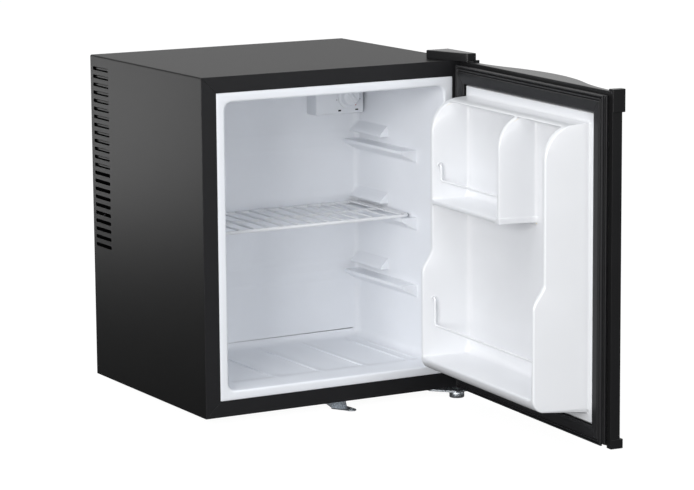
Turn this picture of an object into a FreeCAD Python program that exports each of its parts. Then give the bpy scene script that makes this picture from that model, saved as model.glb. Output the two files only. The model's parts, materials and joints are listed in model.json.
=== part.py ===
import FreeCAD, Part
import math
import os

# Compact thermoelectric mini fridge, millimetres.
# The origin is on the floor, under the middle of the cabinet. +X is to the right, -Y is to the front, +Z is up.
# The door stands open at door_open_angle. Each door piece is shaped closed, then swung about the hinge pins.

V = FreeCAD.Vector
X_AXIS, Y_AXIS, Z_AXIS = V(1, 0, 0), V(0, 1, 0), V(0, 0, 1)

# cabinet body
cabinet_width = 430.0
cabinet_height = 483.0
cabinet_depth = 364.0
foot_height = 12.0
panel_thickness = 0.8
seat_gap = 0.2
# how far a cutting shape reaches past what it cuts
overshoot = 1.0
same_place = 1e-6

# black front frame, an angle section with its return turned in
rail_width = 23.0
rail_thickness = 1.2
rail_return = 10.0

# white moulded liner
liner_wall = 2.0
rib_bite = 0.5
liner_inset = 37.0
floor_inset = 36.0
liner_depth = 255.0
liner_corner_radius = 12.0
liner_back_radius = 10.0
liner_split_clearance = 0.5
rim_inset = 35.0
rim_recess = 0.6
rim_thickness = 2.0
floor_recess = 1.5
threshold_depth = 60.0
floor_rib_pitch = 74.0
floor_rib_width = 5.0
floor_rib_count = 5

# moulded shelf supports on both side walls
top_ledge_drop = 103.0
ledge_pitch = 100.5
ledge_count = 3
ledge_start = 80.0
ledge_reach = 24.0
ledge_lip = 5.0
ledge_drop = 18.5
keeper_start = 164.0
keeper_reach = 13.0
keeper_height = 16.5
shelf_slot = 10.5
keeper_lip = 3.0

# wire shelf
shelf_level_used = 1
shelf_side_gap = 2.0
shelf_front = 92.0
shelf_back_gap = 4.0
shelf_frame_radius = 2.5
shelf_wire_radius = 1.5
shelf_wire_count = 14
shelf_wire_side_gap = 14.25
shelf_corner_radius = 14.0
shelf_rest_gap = 0.1
shelf_wire_lift = 2.0
shelf_brace_radius = 2.1

# thermostat box, high on the back wall at the right
thermostat_width = 83.0
thermostat_height = 62.0
thermostat_depth = 28.0
thermostat_wall = 2.0
thermostat_side_gap = 4.0
dial_radius = 15.5
dial_flange_radius = 19.0
dial_flange_depth = 2.5
dial_depth = 12.0
dial_offset = 14.8
dial_drop = 35.0
dial_shaft_radius = 3.0
dial_gap = 0.5
dial_bar_width = 5.0
dial_bar_rise = 3.0
dial_bar_inset = 2.0
dial_shaft_engagement = 7.0
switch_width = 32.0
switch_height = 26.0
switch_depth = 16.0
switch_well_depth = 8.0
thermostat_corner_radius = 2.5
thermostat_screw_inset = 9.0
thermostat_screw_rise = 8.0
thermostat_tower_radius = 4.5
thermostat_tower_length = 16.0

# insulation and the cooling unit behind it
back_insulation = 34.0
spreader_width = 240.0
spreader_height = 280.0
spreader_thickness = 2.0
module_size = 40.0
module_thickness = 4.0
block_margin = 2.0
window_margin = 1.0
cooler_level = 240.0
hot_block_width = 90.0
hot_block_height = 60.0
hot_block_thickness = 14.0
pipe_radius = 3.0
pipe_pitch = 14.0
pipe_bend_radius = 18.0
pipes_per_side = 2
pipe_foot_rise = 4.0
pipe_low_share = 0.75
pipe_step_share = 0.5
fin_count_per_side = 14
fin_pitch = 11.0
fin_thickness = 1.0
fin_depth = 44.0
fin_height = 150.0
fin_top_drop = 20.0
fin_start = 50.0
fin_back_gap = 2.0
pipe_end = 5.0
pipe_play = 0.1

# louvres in the side panels
louvre_count = 23
louvre_pitch = 12.0
louvre_height = 5.5
louvre_length = 52.5
louvre_rear_inset = 8.5
louvre_top_drop = 19.0

# rear cover, its vents and the mains inlet
rear_cover_thickness = 1.0
rear_screw_inset = 12.0
rear_screw_end = 14.0
flange_width = 20.0
flange_depth = 14.0
flange_thickness = 1.2
vent_top_drop = 60.0
vent_rows = 14
vent_pitch = 12.0
vent_height = 4.0
vent_length = 88.0
vent_columns = 3
vent_column_pitch = 116.0
inlet_width = 30.0
inlet_height = 24.0
inlet_depth = 24.0
inlet_wall = 3.0
inlet_flange = 6.0
inlet_flange_thickness = 2.5
inlet_pin_radius = 2.0
inlet_pin_places = ((-7.0, -2.0), (0.0, 3.0), (7.0, -2.0))
inlet_pin_recess = 5.0
inlet_side_inset = 75.0
inlet_level = 46.0
supply_width = 96.0
supply_height = 70.0
supply_depth = 38.0
supply_corner_radius = 2.0
supply_side_inset = 47.0
supply_inlet_gap = 6.0

# feet
foot_pad_radius = 14.0
foot_inset_side = 52.0
foot_inset_front = 74.0
foot_stud_radius = 4.0
foot_stud_length = 20.0
foot_pad_height = 8.0
foot_pad_round = 1.5
screw_play = 0.25
stud_play = 0.08
foot_insert_radius = 8.0
foot_insert_length = 22.0

# hinge line of the door, measured from the front right edge of the cabinet
hinge_inset = 10.5
hinge_forward = 18.5
hinge_pin_radius = 3.0
running_clearance = 0.05
hinge_plate_thickness = 2.5
door_open_angle = 86.1
pin_head_height = 2.0
pin_head_overlap = 2.0
rivet_head_height = 1.2
rivet_head_overlap = 0.6
pin_end_gap = 1.0
washer_ring = 3.0
washer_play = 0.3

# top hinge
top_plate_gap = 2.0
top_plate_width = 26.0
top_plate_length = 41.0
top_plate_set_back = 3.0
top_plate_nose_radius = 5.5
top_plate_play = 0.4
cover_height = 12.0
cover_wall = 1.6
cover_width = 37.0
cover_nose_width = 16.0
cover_back = 46.0
cover_nose = 31.0
cover_side_inset = 2.5
cover_chamfer = 2.5
cover_edge_round = 1.2
cover_door_gap = 0.8
hinge_screw_radius = 2.0
hinge_screw_head_radius = 4.0
hinge_screw_head_height = 2.0
hinge_screw_length = 12.0
hinge_screw_first = 9.0
hinge_screw_pitch = 12.0
top_screw_count = 3
screw_reach = 8.0
screw_end_gap = 1.0

# bottom hinge, with the front levelling foot in the same plate
bottom_plate_width = 58.0
bottom_plate_side_inset = 3.0
bottom_plate_set_back = 3.0
bottom_plate_rear = 22.0
bottom_plate_nose = 6.0
bottom_plate_foot_nose = 8.0
bottom_plate_foot_side = 9.0
bottom_screw_inset = 20.0
bottom_screw_pitch = 24.0
bottom_screw_set_back = 14.0
corner_foot_radius = 11.0
corner_foot_inset = 24.6
corner_foot_forward = 12.8
corner_foot_chamfer = 0.8
corner_foot_stud_recess = 0.3
corner_foot_stud_radius = 3.0

# fixing lug under the front edge
lug_offset = 10.0
lug_root_left = 31.0
lug_root_right = 3.0
lug_bend_left = 20.0
lug_bend_right = 5.0
lug_thickness = 1.6
lug_drop = 8.4
lug_base_length = 26.0
lug_set_back = 5.0
lug_hole_radius = 3.2
lug_eye_radius = 7.0
lug_eye_reach = 17.0
lug_screw_set_back = 14.0

# door
door_bottom_gap = 1.5
door_top_gap = 0.5
gasket_gap = 0.6
gasket_depth = 13.4
gasket_width = 25.0
gasket_side_margin = 6.8
gasket_bottom_margin = 3.2
gasket_top_margin = 5.6
gasket_lip = 5.0
gasket_rib_inset = 0.5
gasket_fold_inset = 3.5
gasket_fold_depth = 3.2
gasket_rib_depth = 2.0
magnet_width = 9.0
magnet_depth = 2.6
magnet_cover = 1.2
magnet_end_gap = 2.0
panel_end_thickness = 8.0
panel_bow = 29.0
skin_thickness = 1.0
strip_width = 10.0
strip_thickness = 15.5
strip_wall = 2.0
strip_edge_round = 1.5
end_cap_overhang = 4.0
end_cap_top_length = 31.0
end_cap_bottom_length = 13.0
end_cap_rise = 3.0
end_cap_wall = 1.6
end_cap_edge_round = 2.0
end_cap_play = 0.1
trim_height = 9.0
corner_block_width = 30.0
corner_block_shoulder = 8.0
stop_lip_width = 4.0
stop_lip_depth = 7.0
bush_wall = 1.0
wall_lap = 1.0
door_room = 100.0
bottom_plate_door_gap = 10.0
bottom_plate_door_length = 22.0
bottom_plate_door_width = 6.0
bottom_plate_door_thickness = 1.2

# door liner with its two bins
door_liner_wall = 2.0
liner_border_margin = 2.5
dike_side_inset = 41.0
dike_draft = 8.0
dike_top_drop = 47.0
dike_bottom_rise = 41.0
dike_bottom_draft = 11.0
upper_reach = 61.0
lower_reach = 77.0
top_reach = 13.0
step_top = 222.0
step_bottom = 188.0
lower_corner_radius = 9.0
pocket_back = 4.0
pocket_mouth = 5.0
pocket_round = 8.0
step_fullness = 0.55
bin_wall_edge = 7.0
bin_wall_base = 12.0
upper_bin_floor = 294.0
upper_bin_underside = 284.0
lower_bin_floor = 66.0
pocket_top_drop = 6.0
divider_position = 244.0

# hanging wire retainers of the bins
retainer_radius = 1.5
retainer_pin = 4.0
retainer_hole_play = 0.08
retainer_end_play = 0.8
retainer_boss_radius = 4.5
retainer_bend = 1.6
retainer_side_gap = 2.5
upper_retainer_reach = 50.0
upper_retainer_level = 342.0
upper_retainer_drop = 22.0
lower_retainer_reach = 60.0
lower_retainer_level = 150.0
lower_retainer_drop = 39.0

# worked out from the sizes above
left = -cabinet_width / 2
right = cabinet_width / 2
front = -cabinet_depth / 2
back = cabinet_depth / 2
base = foot_height
top = base + cabinet_height
liner_left = left + liner_inset
liner_right = right - liner_inset
liner_floor = base + floor_inset
liner_ceiling = top - liner_inset
liner_back = front + liner_depth
shelf_levels = [liner_ceiling - liner_floor - top_ledge_drop - step * ledge_pitch
                for step in reversed(range(ledge_count))]
foam_back = liner_back + liner_wall + back_insulation
plate_back = foam_back + panel_thickness
rear_foot_y = (plate_back + back) / 2
inlet_x = right - inlet_side_inset
inlet_z = base + inlet_level
hinge_x = right - hinge_inset
hinge_y = front - hinge_forward
door_bottom = base + door_bottom_gap
door_top = top - door_top_gap
gasket_face = front - gasket_gap
door_plane = gasket_face - gasket_depth
corner_foot_x = right - corner_foot_inset
corner_foot_y = front - corner_foot_forward


def box(x0, x1, y0, y1, z0, z1):
    """A block between two corners."""
    return Part.makeBox(x1 - x0, y1 - y0, z1 - z0, V(x0, y0, z0))


def rod(start, direction, length, radius):
    """A round bar from a start point."""
    return Part.makeCylinder(radius, length, start, direction)


def prism(points, direction):
    """A closed polygon carried straight along a direction."""
    wire = Part.makePolygon(points + [points[0]])
    return Part.Face(wire).extrude(direction)


def ring_y(x0, x1, z0, z1, width, y0, y1):
    """A rectangular ring that faces along Y."""
    outer = box(x0, x1, y0, y1, z0, z1)
    return outer.cut(box(x0 + width, x1 - width, y0 - overshoot, y1 + overshoot, z0 + width, z1 - width))


def rounded_block_y(x0, x1, z0, z1, y0, y1, radius):
    """A block along Y with its four long edges rounded."""
    block = box(x0, x1, y0, y1, z0, z1)
    return block.makeFillet(radius, edges_along(block, Y_AXIS))


def edges_along(shape, direction):
    """The straight edges of a shape that run along a direction."""
    found = []
    for edge in shape.Edges:
        span = edge.Vertexes[-1].Point - edge.Vertexes[0].Point
        if span.Length > same_place and abs(abs(span.normalize().dot(direction)) - 1) < same_place:
            found.append(edge)
    return found


def union(shapes):
    """One solid made of shapes that meet."""
    joined = shapes[0]
    if len(shapes) > 1:
        joined = joined.multiFuse(shapes[1:])
    return joined.removeSplitter()


def group(shapes):
    """Separate solids kept in one node."""
    return Part.makeCompound(shapes)


def bent_rod(points, radius, bend_radius):
    """A round bar along straight runs joined by tangent arcs."""
    edges = []
    start = points[0]
    for before, corner, after in zip(points, points[1:], points[2:]):
        incoming = (corner - before).normalize()
        outgoing = (after - corner).normalize()
        half_turn = math.acos(max(-1.0, min(1.0, incoming.dot(outgoing)))) / 2
        trim = bend_radius * math.tan(half_turn)
        arc_start = corner - incoming * trim
        arc_end = corner + outgoing * trim
        middle_direction = (outgoing - incoming).normalize()
        centre = corner + middle_direction * (bend_radius / math.cos(half_turn))
        arc_middle = centre - middle_direction * bend_radius
        edges.append(Part.LineSegment(start, arc_start).toShape())
        edges.append(Part.Arc(arc_start, arc_middle, arc_end).toShape())
        start = arc_end
    edges.append(Part.LineSegment(start, points[-1]).toShape())
    spine = Part.Wire(edges)
    first_run = (points[1] - points[0]).normalize()
    profile = Part.Wire([Part.Circle(points[0], first_run, radius).toShape()])
    return spine.makePipeShell([profile], True, False)


def pan_screw(head_seat, into, head_radius, head_height, shank_radius, length):
    """A screw with a round head that stands on its seat and a shank that runs into the work."""
    head = rod(head_seat - into * head_height, into, head_height, head_radius)
    shank = rod(head_seat, into, length, shank_radius)
    return union([head, shank])


def screw_holes(seats, into):
    """Clearance holes for screws, through whatever sheets meet at their seats."""
    radius = hinge_screw_radius + screw_play
    return [rod(seat - into * screw_reach, into, 2 * screw_reach, radius) for seat in seats]


def screw_wells(seats, into):
    """Blind room for the screws' shanks."""
    radius = hinge_screw_radius + screw_play
    return [rod(seat, into, hinge_screw_length + screw_end_gap, radius) for seat in seats]


def swing(shape):
    """A door piece turned from closed to where the door stands."""
    turned = shape.copy()
    turned.rotate(V(hinge_x, hinge_y, 0), Z_AXIS, door_open_angle)
    return turned


def save(name, shape):
    """Write one node."""
    shape.exportStep("parts/" + name + ".step")


# ---------------------------------------------------------------- cabinet panels

def louvre_slots(x0, x1):
    """The column of round-ended slots near the rear edge of a side panel."""
    slots = []
    radius = louvre_height / 2
    y1 = back - louvre_rear_inset - radius
    y0 = y1 - louvre_length + louvre_height
    for row in range(louvre_count):
        z = top - louvre_top_drop - row * louvre_pitch
        middle = box(x0, x1, y0, y1, z - radius, z + radius)
        ends = [rod(V(x0, y, z), X_AXIS, x1 - x0, radius) for y in (y0, y1)]
        slots.append(union([middle] + ends))
    return slots


def side_panel(x0):
    """A side sheet from behind the front frame to the rear edge, with its louvres."""
    sheet = box(x0, x0 + panel_thickness, front + rail_thickness, back, base, top - panel_thickness)
    return sheet.cut(group(louvre_slots(x0 - overshoot, x0 + panel_thickness + overshoot)))


def top_panel():
    """The top sheet, with the clearance holes of the top hinge screws."""
    sheet = box(left, right, front + rail_thickness, back, top - panel_thickness, top)
    return sheet.cut(group(screw_holes(top_hinge_screw_seats(), Z_AXIS)))


def bottom_panel():
    """The bottom sheet between the side panels, with holes for screws and foot studs."""
    sheet = box(left + panel_thickness, right - panel_thickness, front + rail_thickness, back, base,
                base + panel_thickness)
    depth = panel_thickness + 2 * overshoot
    holes = [rod(V(x, y, base - overshoot), Z_AXIS, depth, foot_stud_radius + stud_play) for x, y in foot_places()]
    holes += screw_holes(bottom_hinge_screw_seats() + lug_screw_seats(), Z_AXIS)
    return sheet.cut(group(holes))


def front_rail(edge):
    """One mitred rail of the front frame: a flat front with a return at its inner edge."""
    full = ring_y(left, right, base, top, rail_width, front, front + rail_thickness)
    frame = full.fuse(rail_lip(0))
    return frame.common(mitre_wedge(edge)).removeSplitter()


def rail_lip(grow):
    """The turned-in return of the front frame, all the way round."""
    inset = rail_width - rail_thickness - grow
    return ring_y(left + inset, right - inset, base + inset, top - inset, rail_thickness + 2 * grow,
                  front + rail_thickness, front + rail_return + grow)


def mitre_wedge(edge):
    """The part of the front opening that belongs to one rail, cut at 45 degrees in its corners."""
    reach = rail_width * 2
    y = front - overshoot
    corners = {"left_low": V(left, y, base), "right_low": V(right, y, base),
               "left_high": V(left, y, top), "right_high": V(right, y, top)}
    inner = {"left_low": V(left + reach, y, base + reach), "right_low": V(right - reach, y, base + reach),
             "left_high": V(left + reach, y, top - reach), "right_high": V(right - reach, y, top - reach)}
    ends = {"left": ("left_low", "left_high"), "right": ("right_low", "right_high"),
            "bottom": ("left_low", "right_low"), "top": ("left_high", "right_high")}[edge]
    outline = [corners[ends[0]], corners[ends[1]], inner[ends[1]], inner[ends[0]]]
    return prism(outline, V(0, rail_return + 2 * overshoot, 0))


def rear_cover():
    """The black sheet over the rear compartment, with vents, screw holes and the inlet's opening."""
    x0 = left + panel_thickness
    x1 = right - panel_thickness
    z0 = base + panel_thickness
    z1 = top - panel_thickness
    sheet = box(x0, x1, back - rear_cover_thickness, back, z0, z1)
    cuts = []
    y0, y1 = back - rear_cover_thickness - overshoot, back + overshoot
    radius = vent_height / 2
    for column in range(vent_columns):
        x = (column - (vent_columns - 1) / 2) * vent_column_pitch
        for row in range(vent_rows):
            z = top - vent_top_drop - row * vent_pitch
            half = vent_length / 2 - radius
            cuts.append(box(x - half, x + half, y0, y1, z - radius, z + radius))
            cuts += [rod(V(x + side * half, y0, z), Y_AXIS, y1 - y0, radius) for side in (-1, 1)]
    x, z = inlet_x, inlet_z
    cuts.append(box(x - inlet_width / 2 - seat_gap, x + inlet_width / 2 + seat_gap, y0, y1,
                    z - inlet_height / 2 - seat_gap, z + inlet_height / 2 + seat_gap))
    cuts += screw_holes(rear_screw_seats(), Y_AXIS)
    return sheet.cut(group(cuts))


def rear_screw_seats():
    """Where the heads of the rear cover's screws sit."""
    x = cabinet_width / 2 - rear_screw_inset
    levels = (base + rear_screw_end, base + cabinet_height / 2, top - rear_screw_end)
    return [V(side * x, back, z) for side in (-1, 1) for z in levels]


def rear_flanges():
    """Two upright angle strips inside the side panels that take the rear cover's screws."""
    strips = []
    y1 = back - rear_cover_thickness
    z0, z1 = base + panel_thickness, top - panel_thickness
    louvres_low = top - louvre_top_drop - louvre_count * louvre_pitch
    louvres_high = top - louvre_top_drop + louvre_pitch
    for side in (-1, 1):
        x_out = side * (cabinet_width / 2 - panel_thickness)
        x0, x1 = sorted((x_out, x_out - side * flange_width))
        face = box(x0, x1, y1 - flange_thickness, y1, z0, z1)
        w0, w1 = sorted((x_out, x_out - side * flange_thickness))
        web = box(w0, w1, y1 - flange_depth, y1, z0, z1)
        # the web is open where the louvres are
        web = web.cut(box(w0 - overshoot, w1 + overshoot, y1 - flange_depth - overshoot, y1 - flange_thickness,
                          louvres_low, louvres_high))
        strip = union([face, web])
        strips.append(strip.cut(group(screw_holes(rear_screw_seats(), Y_AXIS))))
    return group(strips)


# ---------------------------------------------------------------- liner and insulation

def liner_cavity(shrink):
    """The space inside the liner, rounded along its long edges and round its back."""
    rear = liner_back - shrink
    cavity = rounded_block_y(liner_left + shrink, liner_right - shrink, liner_floor + shrink,
                             liner_ceiling - shrink, front - overshoot, rear, liner_corner_radius - shrink)
    rear_edges = [e for e in cavity.Edges if all(abs(v.Point.y - rear) < same_place for v in e.Vertexes)]
    return cavity.makeFillet(liner_back_radius - shrink, rear_edges)


def ledge_underside(x, level, inset):
    """The height of a ledge's sloping underside at a distance from the middle of the cabinet."""
    slope = (ledge_drop - ledge_lip) / ledge_reach
    fall = slope * (x - liner_right + ledge_reach)
    return liner_floor + level - ledge_lip - fall + inset * math.hypot(1.0, slope)


def ledge_form(side, level, inset, wall, rear):
    """A shelf support drawn in by an inset: flat top, short upright lip, underside sloping to the wall."""
    inner = liner_right - ledge_reach + inset
    z = liner_floor + level - inset
    y0 = front + ledge_start + inset
    outline = [V(side * wall, y0, z), V(side * inner, y0, z),
               V(side * inner, y0, ledge_underside(inner, level, inset)),
               V(side * wall, y0, ledge_underside(wall, level, inset))]
    return prism(outline, V(0, rear - y0, 0))


def side_ledge(side, level):
    """The outside of a formed shelf support."""
    return ledge_form(side, level, 0.0, liner_right + rib_bite, liner_back + rib_bite)


def ledge_core(side, level, gap):
    """The hollow of a formed shelf support, which the insulation fills."""
    return ledge_form(side, level, liner_wall + gap, liner_right + liner_wall + overshoot, liner_back - gap)


def side_keeper(side, level):
    """A short rib above the ledge that keeps the shelf from tipping."""
    wall = side * (liner_right + rib_bite)
    inner = side * (liner_right - keeper_reach)
    z = liner_floor + level + shelf_slot
    y0 = front + keeper_start
    outline = [V(wall, y0, z), V(inner, y0, z), V(inner, y0, z + keeper_lip), V(wall, y0, z + keeper_height)]
    return prism(outline, V(0, liner_back + rib_bite - y0, 0))


def floor_ribs():
    """Low ribs that run from the threshold to the back and lift things off the wet floor."""
    ribs = []
    y0 = front + threshold_depth - rib_bite
    y1 = liner_back - liner_back_radius
    for index in range(floor_rib_count):
        x = (index - (floor_rib_count - 1) / 2) * floor_rib_pitch
        ribs.append(box(x - floor_rib_width / 2, x + floor_rib_width / 2, y0, y1,
                        liner_floor - floor_recess - rib_bite, liner_floor))
    return ribs


def liner_outer(grow):
    """The outside of the tub, as the insulation sees it."""
    low = liner_floor - floor_recess - liner_wall
    return box(liner_left - liner_wall - grow, liner_right + liner_wall + grow,
               front + rim_recess, liner_back + liner_wall + grow, low - grow, liner_ceiling + liner_wall + grow)


def inner_tub():
    """The whole white tub: rim, walls, shelf supports, recessed floor and its ribs."""
    margin = rail_width + seat_gap
    rim = box(left + margin, right - margin, front + rim_recess, front + rim_recess + rim_thickness,
              base + margin, top - margin)
    tub = union([rim, liner_outer(0)])
    tub = tub.cut(liner_cavity(0))
    mouth = box(left + rim_inset, right - rim_inset, front - overshoot, front + rim_recess + rim_thickness / 2,
                base + rim_inset, top - rim_inset)
    tub = tub.cut(mouth)
    recess = box(liner_left + liner_corner_radius, liner_right - liner_corner_radius, front + threshold_depth,
                 liner_back - liner_back_radius, liner_floor - floor_recess, liner_floor + overshoot)
    tub = tub.cut(recess)
    added = floor_ribs()
    cores = []
    for side in (-1, 1):
        for level in shelf_levels:
            added += [side_ledge(side, level), side_keeper(side, level)]
            cores.append(ledge_core(side, level, 0.0))
    tub = union([tub] + added)
    return tub.cut(group(cores + screw_holes(thermostat_screw_seats(), Y_AXIS)))


def tub_between(tub, x0, x1, z0, z1):
    """The stretch of the tub between two upright planes and two levels, as a closed solid."""
    return tub.common(box(x0, x1, front, back, z0, z1))


def liner_sides(tub):
    """The tub's two side walls with their shelf supports, cut off just inside the supports."""
    x = liner_right - ledge_reach - liner_split_clearance
    return group([tub_between(tub, left, -x, base, top), tub_between(tub, x, right, base, top)])


def inner_liner(tub):
    """The rest of the tub in three closed solids: its floor, its back wall and its ceiling."""
    x = liner_right - ledge_reach - liner_split_clearance
    levels = [base, liner_floor + liner_split_clearance, liner_ceiling - liner_split_clearance, top]
    return group([tub_between(tub, -x, x, low, high) for low, high in zip(levels, levels[1:])])


def insulation():
    """The foamed block between the liner and the panels, with room for what is buried in it."""
    y0 = front + rim_recess + rim_thickness
    block = box(left + panel_thickness, right - panel_thickness, y0, foam_back, base + panel_thickness,
                top - panel_thickness)
    cuts = [liner_outer(0), rail_lip(seat_gap), spreader_box(seat_gap), cold_block_box(seat_gap)]
    cuts += [rod(V(x, y, base), Z_AXIS, foot_insert_length + panel_thickness + seat_gap,
                 foot_insert_radius + seat_gap) for x, y in foot_places()]
    cuts += [rod(V(x, y, base), Z_AXIS, foot_bore_length(), foot_stud_radius + stud_play) for x, y in foot_places()]
    cuts += screw_wells(top_hinge_screw_seats(), -Z_AXIS)
    cuts += screw_wells(bottom_hinge_screw_seats() + lug_screw_seats(), Z_AXIS)
    cuts += [rod(seat, Y_AXIS, liner_wall + hinge_screw_head_height + seat_gap,
                 hinge_screw_head_radius + seat_gap) for seat in thermostat_screw_seats()]
    cores = [ledge_core(side, level, seat_gap) for side in (-1, 1) for level in shelf_levels]
    return union([block.cut(group(cuts))] + cores)


# ---------------------------------------------------------------- cooling unit

def spreader_box(grow):
    """The place of the cold plate on the back of the liner."""
    y0 = liner_back + liner_wall
    z = base + cooler_level
    return box(-spreader_width / 2 - grow, spreader_width / 2 + grow, y0, y0 + spreader_thickness + grow,
               z - spreader_height / 2 - grow, z + spreader_height / 2 + grow)


def cold_block_box(grow):
    """The place of the block that carries the cold through the insulation."""
    half = module_size / 2 + block_margin
    z = base + cooler_level
    y0 = liner_back + liner_wall + spreader_thickness
    return box(-half - grow, half + grow, y0, foam_back + overshoot, z - half - grow, z + half + grow)


def cold_block():
    """The aluminium block between the cold plate and the module."""
    half = module_size / 2 + block_margin
    z = base + cooler_level
    return box(-half, half, liner_back + liner_wall + spreader_thickness, foam_back, z - half, z + half)


def backing_sheet():
    """The sheet that closes the insulation at the rear, open round the module."""
    sheet = box(left + panel_thickness, right - panel_thickness, foam_back, plate_back, base + panel_thickness,
                top - panel_thickness)
    half = module_size / 2 + window_margin
    z = base + cooler_level
    window = box(-half, half, foam_back - overshoot, plate_back + overshoot, z - half, z + half)
    return sheet.cut(window)


def thermoelectric_module():
    """The flat square module between the two blocks."""
    half = module_size / 2
    z = base + cooler_level
    return box(-half, half, foam_back, foam_back + module_thickness, z - half, z + half)


def pipe_paths():
    """The centre lines of the heat pipes, up from the hot block and out through the fins."""
    paths = []
    y = foam_back + module_thickness + hot_block_thickness / 2
    z0 = base + cooler_level - hot_block_height / 2 + pipe_foot_rise
    fin_top = top - fin_top_drop
    outer = fin_start + (fin_count_per_side - 1) * fin_pitch + fin_thickness + pipe_end
    for side in (-1, 1):
        for index in range(pipes_per_side):
            x = side * pipe_pitch * (pipes_per_side - index - 0.5)
            z = fin_top - fin_height * (pipe_low_share - pipe_step_share * index)
            paths.append([V(x, y, z0), V(x, y, z), V(side * outer, y, z)])
    return paths


def heat_pipes():
    """Four copper pipes, each bent once."""
    return group([bent_rod(path, pipe_radius, pipe_bend_radius) for path in pipe_paths()])


def hot_block():
    """The block on the hot side, grooved for the pipes."""
    z = base + cooler_level
    y0 = foam_back + module_thickness
    block = box(-hot_block_width / 2, hot_block_width / 2, y0, y0 + hot_block_thickness,
                z - hot_block_height / 2, z + hot_block_height / 2)
    grooves = [rod(path[0], Z_AXIS, hot_block_height, pipe_radius + pipe_play) for path in pipe_paths()]
    return block.cut(group(grooves))


def radiator_fins():
    """Upright fins threaded on the level runs of the heat pipes, in two banks."""
    fins = []
    y = foam_back + module_thickness + hot_block_thickness / 2
    y0 = plate_back + fin_back_gap
    z1 = top - fin_top_drop
    levels = [path[-1].z for path in pipe_paths()[:pipes_per_side]]
    for side in (-1, 1):
        for index in range(fin_count_per_side):
            x_near = fin_start + index * fin_pitch
            x0, x1 = sorted((side * x_near, side * (x_near + fin_thickness)))
            fin = box(x0, x1, y0, y0 + fin_depth, z1 - fin_height, z1)
            holes = [rod(V(x0 - overshoot, y, z), X_AXIS, fin_thickness + 2 * overshoot, pipe_radius + pipe_play)
                     for z in levels]
            fins.append(fin.cut(group(holes)))
    return group(fins)


def power_supply():
    """The boxed supply on the backing sheet."""
    x1 = right - supply_side_inset
    z0 = inlet_z + inlet_height / 2 + supply_inlet_gap
    case = box(x1 - supply_width, x1, plate_back, plate_back + supply_depth, z0, z0 + supply_height)
    return case.makeFillet(supply_corner_radius, edges_along(case, Y_AXIS))


def mains_inlet():
    """The socket in the rear cover that takes a detachable lead: a flanged well with three pins."""
    x, z = inlet_x, inlet_z
    half_w, half_h = inlet_width / 2, inlet_height / 2
    body = box(x - half_w, x + half_w, back - inlet_depth, back, z - half_h, z + half_h)
    plate = box(x - half_w - inlet_flange, x + half_w + inlet_flange, back, back + inlet_flange_thickness,
                z - half_h - inlet_wall, z + half_h + inlet_wall)
    well = box(x - half_w + inlet_wall, x + half_w - inlet_wall, back - inlet_depth + inlet_wall,
               back + inlet_flange_thickness + overshoot, z - half_h + inlet_wall, z + half_h - inlet_wall)
    pins = [rod(V(x + dx, back - inlet_depth + rib_bite, z + dz), Y_AXIS, inlet_depth - inlet_pin_recess,
                inlet_pin_radius) for dx, dz in inlet_pin_places]
    return union([body.fuse(plate).cut(well)] + pins)


# ---------------------------------------------------------------- thermostat

def thermostat_box_place():
    """Corners of the thermostat box: x0, x1, y0, y1, z0, z1."""
    x1 = liner_right - thermostat_side_gap
    return (x1 - thermostat_width, x1, liner_back - thermostat_depth, liner_back,
            liner_ceiling - thermostat_height, liner_ceiling)


def dial_centre():
    """Where the dial's axis meets the front of the box."""
    x0, x1, y0, _, _, z1 = thermostat_box_place()
    return V((x0 + x1) / 2 + dial_offset, y0, z1 - dial_drop)


def thermostat_screw_seats():
    """Where the two screws through the back wall, driven from behind before foaming, enter the box."""
    x0, x1, _, _, z0, _ = thermostat_box_place()
    inset = thermostat_screw_inset
    return [V(x, liner_back, z0 + thermostat_screw_rise) for x in (x0 + inset, x1 - inset)]


def thermostat_housing():
    """The white box, open at the back where it meets the liner."""
    x0, x1, y0, y1, z0, z1 = thermostat_box_place()
    shell = box(x0, x1, y0, y1 - seat_gap, z0, z1 - seat_gap)
    upright = edges_along(shell, Z_AXIS)
    front_edges = [e for e in upright if e.Vertexes[0].Point.y < (y0 + y1) / 2]
    shell = shell.makeFillet(thermostat_corner_radius, front_edges)
    hollow = box(x0 + thermostat_wall, x1 - thermostat_wall, y0 + thermostat_wall, y1 + overshoot,
                 z0 + thermostat_wall, z1 - seat_gap - thermostat_wall)
    shell = shell.cut(hollow).common(liner_cavity(seat_gap))
    towers = []
    seats = thermostat_screw_seats()
    r, length = thermostat_tower_radius, thermostat_tower_length
    for seat in seats:
        towers.append(rod(seat - Y_AXIS * length, Y_AXIS, length - seat_gap, r))
        towers.append(box(seat.x - r, seat.x + r, seat.y - length, seat.y - seat_gap, z0 + rib_bite, seat.z))
    shell = union([shell] + towers)
    shaft = rod(dial_centre() - Y_AXIS * overshoot, Y_AXIS, thermostat_wall + 2 * overshoot,
                dial_shaft_radius + running_clearance)
    return shell.cut(group(screw_wells(seats, -Y_AXIS) + [shaft]))


def thermostat_switch():
    """The control inside the box that the dial turns."""
    centre = dial_centre()
    y0 = centre.y + thermostat_wall
    body = box(centre.x - switch_width / 2, centre.x + switch_width / 2, y0, y0 + switch_depth,
               centre.z - switch_height / 2, centre.z + switch_height / 2)
    well = rod(V(centre.x, y0 - overshoot, centre.z), Y_AXIS, switch_well_depth + overshoot,
               dial_shaft_radius + running_clearance)
    return body.cut(well)


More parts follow.
